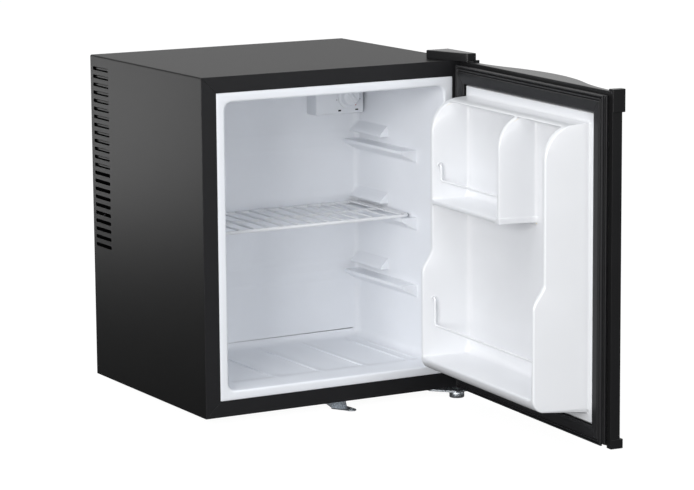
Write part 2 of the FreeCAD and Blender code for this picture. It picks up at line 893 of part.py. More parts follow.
def thermostat_dial():
    """The round dial with its skirt, finger bar and shaft."""
    centre = dial_centre()
    y_skirt = centre.y - dial_gap - dial_flange_depth
    y_face = centre.y - dial_depth
    skirt = rod(V(centre.x, y_skirt, centre.z), Y_AXIS, dial_flange_depth, dial_flange_radius)
    body = rod(V(centre.x, y_face, centre.z), Y_AXIS, y_skirt - y_face, dial_radius)
    half = dial_bar_width / 2
    bar = box(centre.x - half, centre.x + half, y_face - dial_bar_rise, y_face + overshoot,
              centre.z - dial_radius + dial_bar_inset, centre.z + dial_radius - dial_bar_inset)
    shaft_length = dial_flange_depth + dial_gap + thermostat_wall + dial_shaft_engagement
    shaft = rod(V(centre.x, y_skirt, centre.z), Y_AXIS, shaft_length, dial_shaft_radius)
    return union([skirt, body, bar, shaft])


# ---------------------------------------------------------------- wire shelf

def wire_shelf():
    """A coated wire shelf: a rounded outer frame, wires from front to back, and one brace below."""
    z = liner_floor + shelf_levels[shelf_level_used] + shelf_frame_radius + shelf_rest_gap
    x1 = liner_right - shelf_side_gap - shelf_frame_radius
    y0 = front + shelf_front
    y1 = liner_back - shelf_back_gap - shelf_frame_radius
    frame = closed_wire_frame(-x1, x1, y0, y1, z)
    wires = []
    pitch = 2 * (x1 - shelf_wire_side_gap) / (shelf_wire_count - 1)
    for index in range(shelf_wire_count):
        x = (index - (shelf_wire_count - 1) / 2) * pitch
        start = V(x, y0 - overshoot, z + shelf_wire_lift)
        wires.append(rod(start, Y_AXIS, y1 - y0 + 2 * overshoot, shelf_wire_radius))
    brace = rod(V(-x1, (y0 + y1) / 2, z), X_AXIS, 2 * x1, shelf_brace_radius)
    return union([frame] + wires + [brace])


def closed_wire_frame(x0, x1, y0, y1, z):
    """A round bar bent into a rectangle with rounded corners."""
    r = shelf_corner_radius
    k = r * (1 - math.sqrt(0.5))
    edges = [
        Part.LineSegment(V(x0 + r, y0, z), V(x1 - r, y0, z)).toShape(),
        Part.Arc(V(x1 - r, y0, z), V(x1 - k, y0 + k, z), V(x1, y0 + r, z)).toShape(),
        Part.LineSegment(V(x1, y0 + r, z), V(x1, y1 - r, z)).toShape(),
        Part.Arc(V(x1, y1 - r, z), V(x1 - k, y1 - k, z), V(x1 - r, y1, z)).toShape(),
        Part.LineSegment(V(x1 - r, y1, z), V(x0 + r, y1, z)).toShape(),
        Part.Arc(V(x0 + r, y1, z), V(x0 + k, y1 - k, z), V(x0, y1 - r, z)).toShape(),
        Part.LineSegment(V(x0, y1 - r, z), V(x0, y0 + r, z)).toShape(),
        Part.Arc(V(x0, y0 + r, z), V(x0 + k, y0 + k, z), V(x0 + r, y0, z)).toShape(),
    ]
    spine = Part.Wire(edges)
    profile = Part.Wire([Part.Circle(V(x0 + r, y0, z), X_AXIS, shelf_frame_radius).toShape()])
    return spine.makePipeShell([profile], True, False)


# ---------------------------------------------------------------- feet

def foot_places():
    """Axes of the three feet under the bottom sheet: front left, rear left, rear right."""
    x_left, x_right = left + foot_inset_side, right - foot_inset_side
    return [(x_left, front + foot_inset_front), (x_left, rear_foot_y), (x_right, rear_foot_y)]


def levelling_foot(x, y):
    """A round pad with a stud that screws up into the cabinet."""
    pad = rod(V(x, y, 0), Z_AXIS, foot_pad_height, foot_pad_radius)
    lower_rim = [e for e in pad.Edges if len(e.Vertexes) == 1 and e.Vertexes[0].Point.z < foot_pad_height / 2]
    pad = pad.makeFillet(foot_pad_round, lower_rim)
    stud = rod(V(x, y, foot_pad_height), Z_AXIS, base - foot_pad_height + foot_stud_length, foot_stud_radius)
    return union([pad, stud])


def rear_feet():
    """Two fixed feet, each with a short stud pressed into its insert."""
    return group([levelling_foot(x, y) for x, y in foot_places()[1:]])


def foot_inserts():
    """Threaded inserts that stand on the bottom sheet inside the insulation."""
    inserts = []
    for x, y in foot_places():
        body = rod(V(x, y, base + panel_thickness), Z_AXIS, foot_insert_length, foot_insert_radius)
        bore = rod(V(x, y, base), Z_AXIS, foot_bore_length(), foot_stud_radius + stud_play)
        inserts.append(body.cut(bore))
    return group(inserts)


def foot_bore_length():
    """How deep a foot's stud can go above the underside of the cabinet."""
    return foot_insert_length + panel_thickness + overshoot


def corner_foot():
    """The levelling foot in the bottom hinge plate: a flat disc with a threaded stud."""
    disc_top = base - hinge_plate_thickness - screw_play
    disc = rod(V(corner_foot_x, corner_foot_y, 0), Z_AXIS, disc_top, corner_foot_radius)
    disc = disc.makeChamfer(corner_foot_chamfer, [e for e in disc.Edges if len(e.Vertexes) == 1])
    stud_length = screw_play + hinge_plate_thickness - corner_foot_stud_recess
    stud = rod(V(corner_foot_x, corner_foot_y, disc_top), Z_AXIS, stud_length, corner_foot_stud_radius)
    return union([disc, stud])


# ---------------------------------------------------------------- hinges and lug

def top_plate_sides():
    """The top hinge plate's left and right edges."""
    x0 = hinge_x - top_plate_width / 2
    return x0, min(x0 + top_plate_width, right - cover_side_inset - cover_wall - top_plate_play)


def top_hinge_screw_seats():
    """Three screws of the top hinge plate, in a row on the cabinet's top."""
    x0, x1 = top_plate_sides()
    y0 = front + top_plate_set_back + hinge_screw_first
    return [V((x0 + x1) / 2, y0 + index * hinge_screw_pitch, top) for index in range(top_screw_count)]


def top_hinge_plate():
    """A steel plate screwed to the cabinet's top and stepped up over the door, with the pin's hole."""
    t = hinge_plate_thickness
    x0, x1 = top_plate_sides()
    y0 = front + top_plate_set_back
    z = top + top_plate_gap
    flat = box(x0, x1, y0, y0 + top_plate_length, top, top + t)
    step = box(x0, x1, y0, y0 + t, top, z + t)
    r = top_plate_nose_radius
    arm = box(hinge_x - r, hinge_x + r, hinge_y, y0 + t, z, z + t)
    nose = rod(V(hinge_x, hinge_y, z), Z_AXIS, t, r)
    plate = union([flat, step, arm, nose])
    pin_hole = rod(V(hinge_x, hinge_y, top), Z_AXIS, z + t + overshoot - top, hinge_pin_radius + running_clearance)
    return plate.cut(group(screw_holes(top_hinge_screw_seats(), Z_AXIS) + [pin_hole]))


def top_hinge_pin():
    """The headed pin that drops through the top plate into the door."""
    z_plate = top + top_plate_gap + hinge_plate_thickness
    z_end = door_top - trim_height + pin_end_gap
    head = rod(V(hinge_x, hinge_y, z_plate), Z_AXIS, pin_head_height, hinge_pin_radius + pin_head_overlap)
    shank = rod(V(hinge_x, hinge_y, z_end), Z_AXIS, z_plate - z_end, hinge_pin_radius)
    return union([head, shank])


def hinge_screws(seats, into, plate):
    """Screws of one plate, their heads on its outer face."""
    return [pan_screw(seat - into * plate, into, hinge_screw_head_radius, hinge_screw_head_height,
                      hinge_screw_radius, hinge_screw_length + plate) for seat in seats]


def cover_outline(inset, z):
    """The hinge cover's outline, straight at the right and tapering to its nose."""
    x1 = right - cover_side_inset - inset
    y0 = front - cover_nose + inset
    y1 = front + cover_back - inset
    nose = x1 - cover_nose_width + 2 * inset
    return [V(right - cover_side_inset - cover_width + inset, y1, z), V(x1, y1, z), V(x1, y0, z),
            V(nose + cover_chamfer, y0, z), V(nose, y0 + cover_chamfer, z)]


def hinge_cover():
    """The black cap over the top hinge, open underneath and relieved over the door."""
    cap_top = top + cover_height
    outer = prism(cover_outline(0, top), V(0, 0, cover_height))
    rim = [e for e in outer.Edges if all(v.Point.z > cap_top - overshoot for v in e.Vertexes)]
    outer = outer.makeFillet(cover_edge_round, rim)
    inner = prism(cover_outline(cover_wall, top - overshoot), V(0, 0, cover_height - cover_wall + overshoot))
    relief = box(left, right + overshoot, front - cover_nose - overshoot, front, top - overshoot,
                 door_top + cover_door_gap)
    return outer.cut(inner).cut(relief)


def bottom_hinge_screw_seats():
    """Two screws of the bottom hinge plate, under the cabinet."""
    x = right - bottom_screw_inset
    y = front + bottom_screw_set_back
    return [V(x, y, base), V(x - bottom_screw_pitch, y, base)]


def bottom_hinge_plate():
    """A zinc-plated plate under the corner, with the pin's hole and the foot's thread in its nose."""
    z0 = base - hinge_plate_thickness
    x1 = right - bottom_plate_side_inset
    x0 = x1 - bottom_plate_width
    y0 = front + bottom_plate_set_back
    y1 = y0 + bottom_plate_rear
    outline = [V(x0, y1, z0), V(x1, y1, z0), V(x1, hinge_y - bottom_plate_nose, z0),
               V(corner_foot_x - bottom_plate_foot_side, hinge_y - bottom_plate_foot_nose, z0), V(x0, y0, z0)]
    plate = prism(outline, V(0, 0, hinge_plate_thickness))
    depth = hinge_plate_thickness + 2 * overshoot
    bores = ((hinge_x, hinge_y, hinge_pin_radius + running_clearance),
             (corner_foot_x, corner_foot_y, corner_foot_stud_radius + stud_play))
    holes = [rod(V(x, y, z0 - overshoot), Z_AXIS, depth, radius) for x, y, radius in bores]
    return plate.cut(group(holes + screw_holes(bottom_hinge_screw_seats(), Z_AXIS)))


def bottom_hinge_pin():
    """The riveted pin that stands up into the door."""
    z0 = base - hinge_plate_thickness
    z_end = door_bottom + trim_height - pin_end_gap
    head = rod(V(hinge_x, hinge_y, z0 - rivet_head_height), Z_AXIS, rivet_head_height,
               hinge_pin_radius + rivet_head_overlap)
    shank = rod(V(hinge_x, hinge_y, z0), Z_AXIS, z_end - z0, hinge_pin_radius)
    return union([head, shank])


def hinge_washer():
    """The thin washer that the door turns on."""
    thickness = door_bottom_gap - washer_play
    disc = rod(V(hinge_x, hinge_y, base), Z_AXIS, thickness, hinge_pin_radius + washer_ring)
    hole = rod(V(hinge_x, hinge_y, base - overshoot), Z_AXIS, thickness + 2 * overshoot,
               hinge_pin_radius + running_clearance)
    return disc.cut(hole)


def lug_screw_seats():
    """The screw of the fixing lug, in the middle of its root."""
    x = lug_offset + (lug_root_right - lug_root_left) / 2
    return [V(x, front + lug_set_back + lug_screw_set_back, base)]


def fixing_lug():
    """A zinc-plated strip bent twice: flat under the cabinet, tapering down, and forward to a round eye."""
    t = lug_thickness
    root0, root1 = lug_offset - lug_root_left, lug_offset + lug_root_right
    bend0, bend1 = lug_offset - lug_bend_left, lug_offset + lug_bend_right
    y0 = front + lug_set_back
    z0 = base - lug_drop
    flat = box(root0, root1, y0, y0 + lug_base_length, base - t, base)
    web = prism([V(root0, y0, base), V(root1, y0, base), V(bend1, y0, z0), V(bend0, y0, z0)], V(0, t, 0))
    seat = lug_hole_seat()
    r = lug_eye_radius
    tongue = prism([V(bend0, y0 + t, seat.z), V(bend1, y0 + t, seat.z), V(bend1, y0, seat.z),
                    V(seat.x + r, seat.y, seat.z), V(seat.x - r, seat.y, seat.z), V(bend0, y0, seat.z)], V(0, 0, t))
    eye = rod(seat, Z_AXIS, t, r)
    hole = rod(seat - Z_AXIS * overshoot, Z_AXIS, t + 2 * overshoot, lug_hole_radius)
    screw_hole = rod(lug_screw_seats()[0] - Z_AXIS * (t + overshoot), Z_AXIS, t + 2 * overshoot,
                     hinge_screw_radius + screw_play)
    return union([flat, web, tongue, eye]).cut(group([hole, screw_hole]))


def lug_hole_seat():
    """The middle of the lug's hole, on the tongue's underside."""
    return V(lug_offset, front - lug_eye_reach, base - lug_drop - lug_thickness)


# ---------------------------------------------------------------- door panel (shaped closed)

def bow_points(x0, x1, y_end, rise):
    """Ends, joints and middles of the door front's three arcs: hollow, full, hollow."""
    length = (x1 - x0) / 2
    radius = (length * length + rise * rise) / (4 * rise)
    half = math.asin(length / 2 / radius) / 2
    quarter = V(radius * math.sin(half), -radius * (1 - math.cos(half)), 0)
    middle = (x0 + x1) / 2
    start, end = V(x0, y_end, 0), V(x1, y_end, 0)
    crown = V(middle, y_end - rise, 0)
    first_joint = V(x0 + length / 2, y_end - rise / 2, 0)
    second_joint = V(x1 - length / 2, y_end - rise / 2, 0)
    return [start, start + quarter, first_joint, crown, second_joint, V(end.x - quarter.x, end.y + quarter.y, 0), end]


def bowed_outline(x0, x1, y_back, y_end, rise, z):
    """A flat-backed outline whose front is the three arcs."""
    p = [V(q.x, q.y, z) for q in bow_points(x0, x1, y_end, rise)]
    edges = [
        Part.Arc(p[0], p[1], p[2]).toShape(),
        Part.Arc(p[2], p[3], p[4]).toShape(),
        Part.Arc(p[4], p[5], p[6]).toShape(),
        Part.LineSegment(p[6], V(x1, y_back, z)).toShape(),
        Part.LineSegment(V(x1, y_back, z), V(x0, y_back, z)).toShape(),
        Part.LineSegment(V(x0, y_back, z), p[0]).toShape(),
    ]
    return Part.Face(Part.Wire(edges))


def bowed_block(y_back, y_end, rise, z0, z1):
    """A block of the door between its side strips, with the bowed front."""
    face = bowed_outline(left + strip_width, right - strip_width, y_back, y_end, rise, z0)
    return face.extrude(V(0, 0, z1 - z0))


def door_front_y():
    """The front of the door panel at its two ends."""
    return door_plane - panel_end_thickness


def door_skin():
    """The bowed front sheet."""
    z0, z1 = door_bottom + trim_height, door_top - trim_height
    outer = bowed_block(door_front_y() + skin_thickness, door_front_y(), panel_bow, z0, z1)
    inner = bowed_block(door_plane, door_front_y() + skin_thickness, panel_bow, z0 - overshoot, z1 + overshoot)
    return outer.cut(inner)


def door_trim(z0, z1):
    """The moulding that closes the door panel's top or bottom edge between the corner blocks."""
    full = bowed_block(door_plane, door_front_y(), panel_bow, z0, z1)
    x1 = right - corner_block_width
    return full.common(box(left, x1, front - door_room, front, z0 - overshoot, z1 + overshoot))


def corner_block(z0, z1, z_edge0, z_edge1):
    """The moulded hinge-side corner that holds a hinge bush: body, and a stop lip on its front."""
    x0 = right - corner_block_width
    full = bowed_block(door_plane, door_front_y(), panel_bow, z0, z1)
    body = full.common(box(x0, right - strip_width, front - door_room, front, z0 - overshoot, z1 + overshoot))
    y0 = door_plane - strip_thickness
    end = box(right - strip_width, right, y0, door_plane, z0, z1)
    shoulder = box(hinge_x - corner_block_shoulder, right - strip_width, y0, door_front_y() + wall_lap, z0, z1)
    lip = box(x0, x0 + stop_lip_width, door_front_y() - stop_lip_depth, door_front_y() + wall_lap, z_edge0, z_edge1)
    block = union([body, end, shoulder, lip])
    bore = rod(V(hinge_x, hinge_y, z0 - overshoot), Z_AXIS, z1 - z0 + 2 * overshoot, bush_radius())
    return block.cut(bore)


def bush_radius():
    """The outside of a hinge bush."""
    return hinge_pin_radius + running_clearance + bush_wall


def hinge_bush(z0, z1):
    """A plastic bush in a corner block."""
    bush = rod(V(hinge_x, hinge_y, z0), Z_AXIS, z1 - z0, bush_radius())
    bore = rod(V(hinge_x, hinge_y, z0 - overshoot), Z_AXIS, z1 - z0 + 2 * overshoot,
               hinge_pin_radius + running_clearance)
    return bush.cut(bore)


def side_strip(x0, z0, z1):
    """A hollow upright strip at one side of the door."""
    outer = box(x0, x0 + strip_width, door_plane - strip_thickness, door_plane, z0, z1)
    front_edges = [e for e in edges_along(outer, Z_AXIS) if e.Vertexes[0].Point.y < door_plane - strip_thickness / 2]
    outer = outer.makeFillet(strip_edge_round, front_edges)
    w = strip_wall
    inner = box(x0 + w, x0 + strip_width - w, door_plane - strip_thickness + w, door_plane - w, z0 - overshoot,
                z1 + overshoot)
    return outer.cut(inner)


def strip_end_caps():
    """The two caps that slip over the ends of the free-side strip and stand a little proud of it."""
    caps = []
    y0 = door_plane - strip_thickness - end_cap_overhang
    spans = ((door_top - end_cap_top_length + end_cap_rise, door_top + end_cap_rise, 1),
             (door_bottom - end_cap_rise, door_bottom - end_cap_rise + end_cap_bottom_length, -1))
    for z0, z1, sign in spans:
        cap = box(left - end_cap_wall, left + strip_width, y0, door_plane, z0, z1)
        front_edges = [e for e in edges_along(cap, Z_AXIS) if e.Vertexes[0].Point.y < y0 + end_cap_overhang]
        cap = cap.makeFillet(end_cap_edge_round, front_edges)
        s0, s1 = (z0 - overshoot, z1 - end_cap_rise) if sign > 0 else (z0 + end_cap_rise, z1 + overshoot)
        socket = box(left - end_cap_play, left + strip_width + overshoot,
                     door_plane - strip_thickness - end_cap_play, door_plane + overshoot, s0, s1)
        caps.append(cap.cut(socket))
    return group(caps)


def door_foam():
    """The foamed core between the bowed skin and the liner."""
    z0, z1 = door_bottom + trim_height, door_top - trim_height
    y_back = door_plane - door_liner_wall - seat_gap
    core = bowed_block(y_back, door_front_y() + skin_thickness + seat_gap, panel_bow, z0 + seat_gap, z1 - seat_gap)
    return union([core, dike_core(seat_gap)])


# ---------------------------------------------------------------- door liner

def dike_half_width(depth):
    """Half of the dike's width at a distance in front of the border, drawn in by its draft."""
    return cabinet_width / 2 - dike_side_inset - dike_draft * max(0.0, depth) / lower_reach


def dike_side_outline(x, inset, y_back):
    """The dike seen from the side: a rounded top, a straight upper part, a step out, and a rounded foot."""
    y_low = front + lower_reach - inset
    y_up = front + upper_reach - inset
    z_top = top - dike_top_drop - inset
    z_back = base + dike_bottom_rise + inset
    z_foot = z_back + dike_bottom_draft
    crown = upper_reach - top_reach - inset
    foot = lower_corner_radius - inset
    s = math.sqrt(0.5)
    arc_centre = V(x, front + top_reach, z_top - crown)
    foot_centre = V(x, y_low - foot, z_foot + foot)
    z_step0, z_step1 = base + step_top, base + step_bottom
    middle = V(x, (y_low + y_up) / 2, (z_step0 + z_step1) / 2)
    bulge = (y_low - y_up) / 4 * step_fullness
    drop = (step_top - step_bottom) / 4
    p_back, p_top = V(x, y_back, z_top), V(x, front + top_reach, z_top)
    p_side = V(x, y_up, z_top - crown)
    p_step0, p_step1 = V(x, y_up, z_step0), V(x, y_low, z_step1)
    p_foot, p_under = V(x, y_low, foot_centre.z), V(x, foot_centre.y, z_foot)
    p_low = V(x, y_back, z_back)
    edges = [
        Part.LineSegment(p_back, p_top).toShape(),
        Part.Arc(p_top, arc_centre + V(0, crown * s, crown * s), p_side).toShape(),
        Part.LineSegment(p_side, p_step0).toShape(),
        Part.Arc(p_step0, V(x, y_up + bulge, z_step0 - drop), middle).toShape(),
        Part.Arc(middle, V(x, y_low - bulge, z_step1 + drop), p_step1).toShape(),
        Part.LineSegment(p_step1, p_foot).toShape(),
        Part.Arc(p_foot, foot_centre + V(0, foot * s, -foot * s), p_under).toShape(),
        Part.LineSegment(p_under, p_low).toShape(),
        Part.LineSegment(p_low, p_back).toShape(),
    ]
    return Part.Face(Part.Wire(edges))


def tapered_block(half_back, half_front, y0, y1, z0, z1):
    """A block that narrows evenly towards its front."""
    outline = [V(-half_back, y0, z0), V(half_back, y0, z0), V(half_front, y1, z0), V(-half_front, y1, z0)]
    return prism(outline, V(0, 0, z1 - z0))


def dike_form(inset, y_back):
    """The raised form of the door liner before its pockets are cut, drawn in by an inset."""
    reach = cabinet_width
    side_view = dike_side_outline(-reach, inset, y_back).extrude(V(2 * reach, 0, 0))
    plan = tapered_block(dike_half_width(0) - inset, dike_half_width(lower_reach) - inset, y_back,
                         front + lower_reach, base, top)
    return side_view.common(plan)


def dike_core(gap):
    """The foam inside the dike: its form less the pockets, each drawn off by the wall."""
    wall = door_liner_wall + gap
    core = dike_form(wall, door_plane - wall - overshoot)
    for shape in door_pockets(wall) + retainer_bosses(gap):
        core = core.cut(shape)
    return core


def pocket(x0, x1, z0, z1, wall):
    """A drafted pocket open to the inside of the cabinet, grown by a wall."""
    draft = bin_wall_base - bin_wall_edge
    y0, y1 = front + pocket_back - wall, front + lower_reach + pocket_mouth
    x0, x1, z0, z1 = x0 - wall, x1 + wall, z0 - wall, z1 + wall
    outline = [V(x0 + draft, y0, z0), V(x1 - draft, y0, z0), V(x1, y1, z0), V(x0, y1, z0)]
    shape = prism(outline, V(0, 0, z1 - z0))
    middle = (y0 + y1) / 2
    rear = [e for e in shape.Edges if all(v.Point.y < middle for v in e.Vertexes)]
    return shape.makeFillet(pocket_round + wall, rear)


def door_x(distance):
    """A place across the closed door, from the gasket's hinge-side edge."""
    return right - gasket_side_margin - distance


def bin_walls():
    """Inner faces of the bins at their mouth: hinge side, divider's two faces, free side."""
    half = dike_half_width(lower_reach)
    divider = door_x(divider_position)
    return (half - bin_wall_edge, divider + bin_wall_edge / 2, divider - bin_wall_edge / 2, -half + bin_wall_edge)


def door_pockets(wall):
    """The upper bin, the tall bottle space and the lower bin, grown by a wall."""
    hinge_wall, divider_right, divider_left, free_wall = bin_walls()
    pocket_top = top - dike_top_drop - pocket_top_drop
    return [pocket(divider_right, hinge_wall, base + upper_bin_floor, pocket_top, wall),
            pocket(free_wall, divider_left, base + lower_bin_floor, pocket_top, wall),
            pocket(free_wall, hinge_wall, base + lower_bin_floor, base + upper_bin_underside, wall)]


def retainer_spans():
    """Each retainer's wall faces, its reach and its level: upper, then lower."""
    hinge_wall, divider_right, _, free_wall = bin_walls()
    mouth = lower_reach + pocket_mouth
    draft = (bin_wall_base - bin_wall_edge) / (mouth - pocket_back)
    upper_in = draft * (mouth - upper_retainer_reach)
    lower_in = draft * (mouth - lower_retainer_reach)
    return [(divider_right + upper_in, hinge_wall - upper_in, upper_retainer_reach, upper_retainer_level),
            (free_wall + lower_in, hinge_wall - lower_in, lower_retainer_reach, lower_retainer_level)]


def retainer_holes():
    """Blind holes in the bin walls that carry the wire retainers."""
    holes = []
    depth = retainer_pin + retainer_end_play
    for start, end, reach, level in retainer_spans():
        seat = V(start - depth, front + reach, base + level)
        holes.append(rod(seat, X_AXIS, end - start + 2 * depth, retainer_radius + retainer_hole_play))
    return holes


def retainer_bosses(gap):
    """Solid bosses inside the hollow bin walls, round the retainers' holes."""
    bosses = []
    for start, end, reach, level in retainer_spans():
        seat = V(start - bin_wall_base, front + reach, base + level)
        bosses.append(rod(seat, X_AXIS, end - start + 2 * bin_wall_base, retainer_boss_radius + gap))
    return bosses


def door_liner():
    """The white formed inside of the door: border, dike, bins and divider."""
    margin = liner_border_margin + strip_width
    border = box(left + margin, right - margin, door_plane - door_liner_wall, door_plane,
                 door_bottom + trim_height, door_top - trim_height)
    form = union([border, dike_form(0.0, door_plane - rib_bite)])
    form = form.cut(dike_core(0.0))
    for shape in door_pockets(0.0):
        form = form.cut(shape)
    return form.cut(group(retainer_holes()))


def wire_retainer(index):
    """A wire bent like a U: two pins in the bin walls, two legs hanging down and a level bar."""
    start, end, reach, level = retainer_spans()[index]
    drop = (upper_retainer_drop, lower_retainer_drop)[index]
    y, z = front + reach, base + level
    x0, x1 = start + retainer_side_gap + retainer_radius, end - retainer_side_gap - retainer_radius
    points = [V(start - retainer_pin, y, z), V(x0, y, z), V(x0, y, z - drop), V(x1, y, z - drop), V(x1, y, z),
              V(end + retainer_pin, y, z)]
    return bent_rod(points, retainer_radius, retainer_radius * retainer_bend)


# ---------------------------------------------------------------- gasket

def gasket_frame(inset, width, y0, y1):
    """One layer of the gasket's section, carried round the door."""
    return ring_y(left + gasket_side_margin + inset, right - gasket_side_margin - inset,
                  base + gasket_bottom_margin + inset, top - gasket_top_margin - inset, width, y0, y1)


def door_gasket():
    """The black magnetic seal: a flat lip, a bellows of two folds and a foot on the liner."""
    y_lip = gasket_face - gasket_lip
    y_fold = y_lip - gasket_fold_depth
    y_rib = y_fold - gasket_rib_depth
    folded = gasket_width - 2 * gasket_fold_inset
    layers = [
        gasket_frame(0, gasket_width, y_lip, gasket_face),
        gasket_frame(gasket_fold_inset, folded, y_fold, y_lip),
        gasket_frame(gasket_rib_inset, gasket_width - 2 * gasket_rib_inset, y_rib, y_fold),
        gasket_frame(gasket_fold_inset, folded, door_plane, y_rib),
    ]
    seal = union(layers)
    return seal.cut(group(magnet_bars(seat_gap)))


def magnet_bars(grow):
    """The four magnet strips inside the gasket's lip."""
    inset = (gasket_width - magnet_width) / 2 - grow
    w = magnet_width + 2 * grow
    y1 = gasket_face - magnet_cover + grow
    y0 = y1 - magnet_depth - 2 * grow
    x0, x1 = left + gasket_side_margin + inset, right - gasket_side_margin - inset
    z0, z1 = base + gasket_bottom_margin + inset, top - gasket_top_margin - inset
    end = magnet_width + magnet_end_gap
    return [box(x0, x0 + w, y0, y1, z0 + end, z1 - end), box(x1 - w, x1, y0, y1, z0 + end, z1 - end),
            box(x0 + end, x1 - end, y0, y1, z0, z0 + w), box(x0 + end, x1 - end, y0, y1, z1 - w, z1)]


def door_bottom_plate():
    """A small zinc-plated plate under the door's hinge-side corner."""
    x1 = hinge_x - bottom_plate_door_gap
    y1 = door_plane - wall_lap
    return box(x1 - bottom_plate_door_length, x1, y1 - bottom_plate_door_width, y1,
               door_bottom - bottom_plate_door_thickness, door_bottom)


# ---------------------------------------------------------------- build and write

def cabinet_nodes():
    """Everything that stays with the cabinet."""
    tub = inner_tub()
    nodes = {
        "left_side_panel": side_panel(left),
        "right_side_panel": side_panel(right - panel_thickness),
        "top_panel": top_panel(),
        "bottom_panel": bottom_panel(),
        "rear_cover": rear_cover(),
        "rear_flanges": rear_flanges(),
        "inner_liner": inner_liner(tub),
        "liner_sides": liner_sides(tub),
        "cabinet_insulation": insulation(),
        "backing_sheet": backing_sheet(),
        "cold_plate": spreader_box(0),
        "cold_block": cold_block(),
        "thermoelectric_module": thermoelectric_module(),
        "hot_block": hot_block(),
        "heat_pipes": heat_pipes(),
        "radiator_fins": radiator_fins(),
        "power_supply": power_supply(),
        "mains_inlet": mains_inlet(),
        "thermostat_housing": thermostat_housing(),
        "thermostat_switch": thermostat_switch(),
        "foot_inserts": foot_inserts(),
        "rear_feet": rear_feet(),
        "top_hinge_plate": top_hinge_plate(),
        "top_hinge_pin": top_hinge_pin(),
        "hinge_cover": hinge_cover(),
        "bottom_hinge_plate": bottom_hinge_plate(),
        "bottom_hinge_pin": bottom_hinge_pin(),
        "hinge_washer": hinge_washer(),
        "fixing_lug": fixing_lug(),
        "top_hinge_screws": group(hinge_screws(top_hinge_screw_seats(), -Z_AXIS, hinge_plate_thickness)),
        "bottom_hinge_screws": group(hinge_screws(bottom_hinge_screw_seats(), Z_AXIS, hinge_plate_thickness)),
        "lug_screw": group(hinge_screws(lug_screw_seats(), Z_AXIS, lug_thickness)),
        "rear_cover_screws": group(hinge_screws(rear_screw_seats(), -Y_AXIS, 0)),
        "thermostat_screws": group(hinge_screws(thermostat_screw_seats(), -Y_AXIS, liner_wall)),
    }
    for edge in ("top", "bottom", "left", "right"):
        nodes["front_rail_" + edge] = front_rail(edge)
    return nodes


def door_nodes():
    """Everything that turns with the door, shaped closed."""
    strip_low, strip_high = door_bottom + trim_height, door_top - trim_height
    return {
        "door_skin": door_skin(),
        "door_top_trim": door_trim(strip_high, door_top),
        "door_bottom_trim": door_trim(door_bottom, strip_low),
        "door_corner_top": corner_block(strip_high, door_top, strip_high, door_top + end_cap_rise),
        "door_corner_bottom": corner_block(door_bottom, strip_low, door_bottom, strip_low),
        "door_strip_free": side_strip(left, door_bottom, door_top),
        "door_strip_hinge": side_strip(right - strip_width, strip_low, strip_high),
        "door_strip_caps": strip_end_caps(),
        "door_foam": door_foam(),
        "door_liner": door_liner(),
        "door_gasket": door_gasket(),
        "gasket_magnets": group(magnet_bars(0)),
        "upper_hinge_bush": hinge_bush(strip_high, door_top),
        "lower_hinge_bush": hinge_bush(door_bottom, strip_low),
        "door_bottom_plate": door_bottom_plate(),
        "upper_bin_retainer": wire_retainer(0),
        "lower_bin_retainer": wire_retainer(1),
    }


def moving_nodes():
    """Pieces that move by themselves in the cabinet."""
    x, y = foot_places()[0]
    return {
        "wire_shelf": wire_shelf(),
        "thermostat_dial": thermostat_dial(),
        "front_foot": levelling_foot(x, y),
        "corner_foot": corner_foot(),
    }


def main():
    os.makedirs("parts", exist_ok=True)
    for name, shape in {**cabinet_nodes(), **moving_nodes()}.items():
        save(name, shape)
    for name, shape in door_nodes().items():
        save(name, swing(shape))


main()
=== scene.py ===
import json
import math

import bmesh
import bpy
import numpy as np
from mathutils import Matrix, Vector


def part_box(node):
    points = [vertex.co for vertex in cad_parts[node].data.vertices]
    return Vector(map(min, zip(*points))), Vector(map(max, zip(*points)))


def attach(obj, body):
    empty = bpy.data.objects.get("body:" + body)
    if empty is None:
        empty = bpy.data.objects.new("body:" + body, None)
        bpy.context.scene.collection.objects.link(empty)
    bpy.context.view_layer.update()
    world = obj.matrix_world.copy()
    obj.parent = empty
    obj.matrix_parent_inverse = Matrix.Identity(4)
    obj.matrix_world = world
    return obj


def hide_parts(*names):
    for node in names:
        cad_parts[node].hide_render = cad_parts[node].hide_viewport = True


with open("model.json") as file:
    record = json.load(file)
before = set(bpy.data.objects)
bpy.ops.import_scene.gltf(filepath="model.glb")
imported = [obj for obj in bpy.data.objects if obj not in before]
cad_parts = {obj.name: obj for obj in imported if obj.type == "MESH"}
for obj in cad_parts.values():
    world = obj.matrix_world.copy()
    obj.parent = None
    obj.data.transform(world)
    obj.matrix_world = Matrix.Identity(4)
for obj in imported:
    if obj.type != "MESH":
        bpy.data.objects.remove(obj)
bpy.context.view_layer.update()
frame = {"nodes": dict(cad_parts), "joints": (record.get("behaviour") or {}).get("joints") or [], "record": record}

# Compact thermoelectric fridge with its door open. Shapes are worked out in millimetres, in the CAD frame, and
# put into their meshes in metres. Door pieces are worked out closed, then turned about the hinge pins to where
# the door stands.

MM = 0.001
merge_distance = 0.004
X_WAY, Y_WAY, Z_WAY = np.eye(3)


def low_high(node):
    """Lowest and highest corner of a CAD node, in millimetres."""
    low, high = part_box(node)
    return np.array(low) / MM, np.array(high) / MM


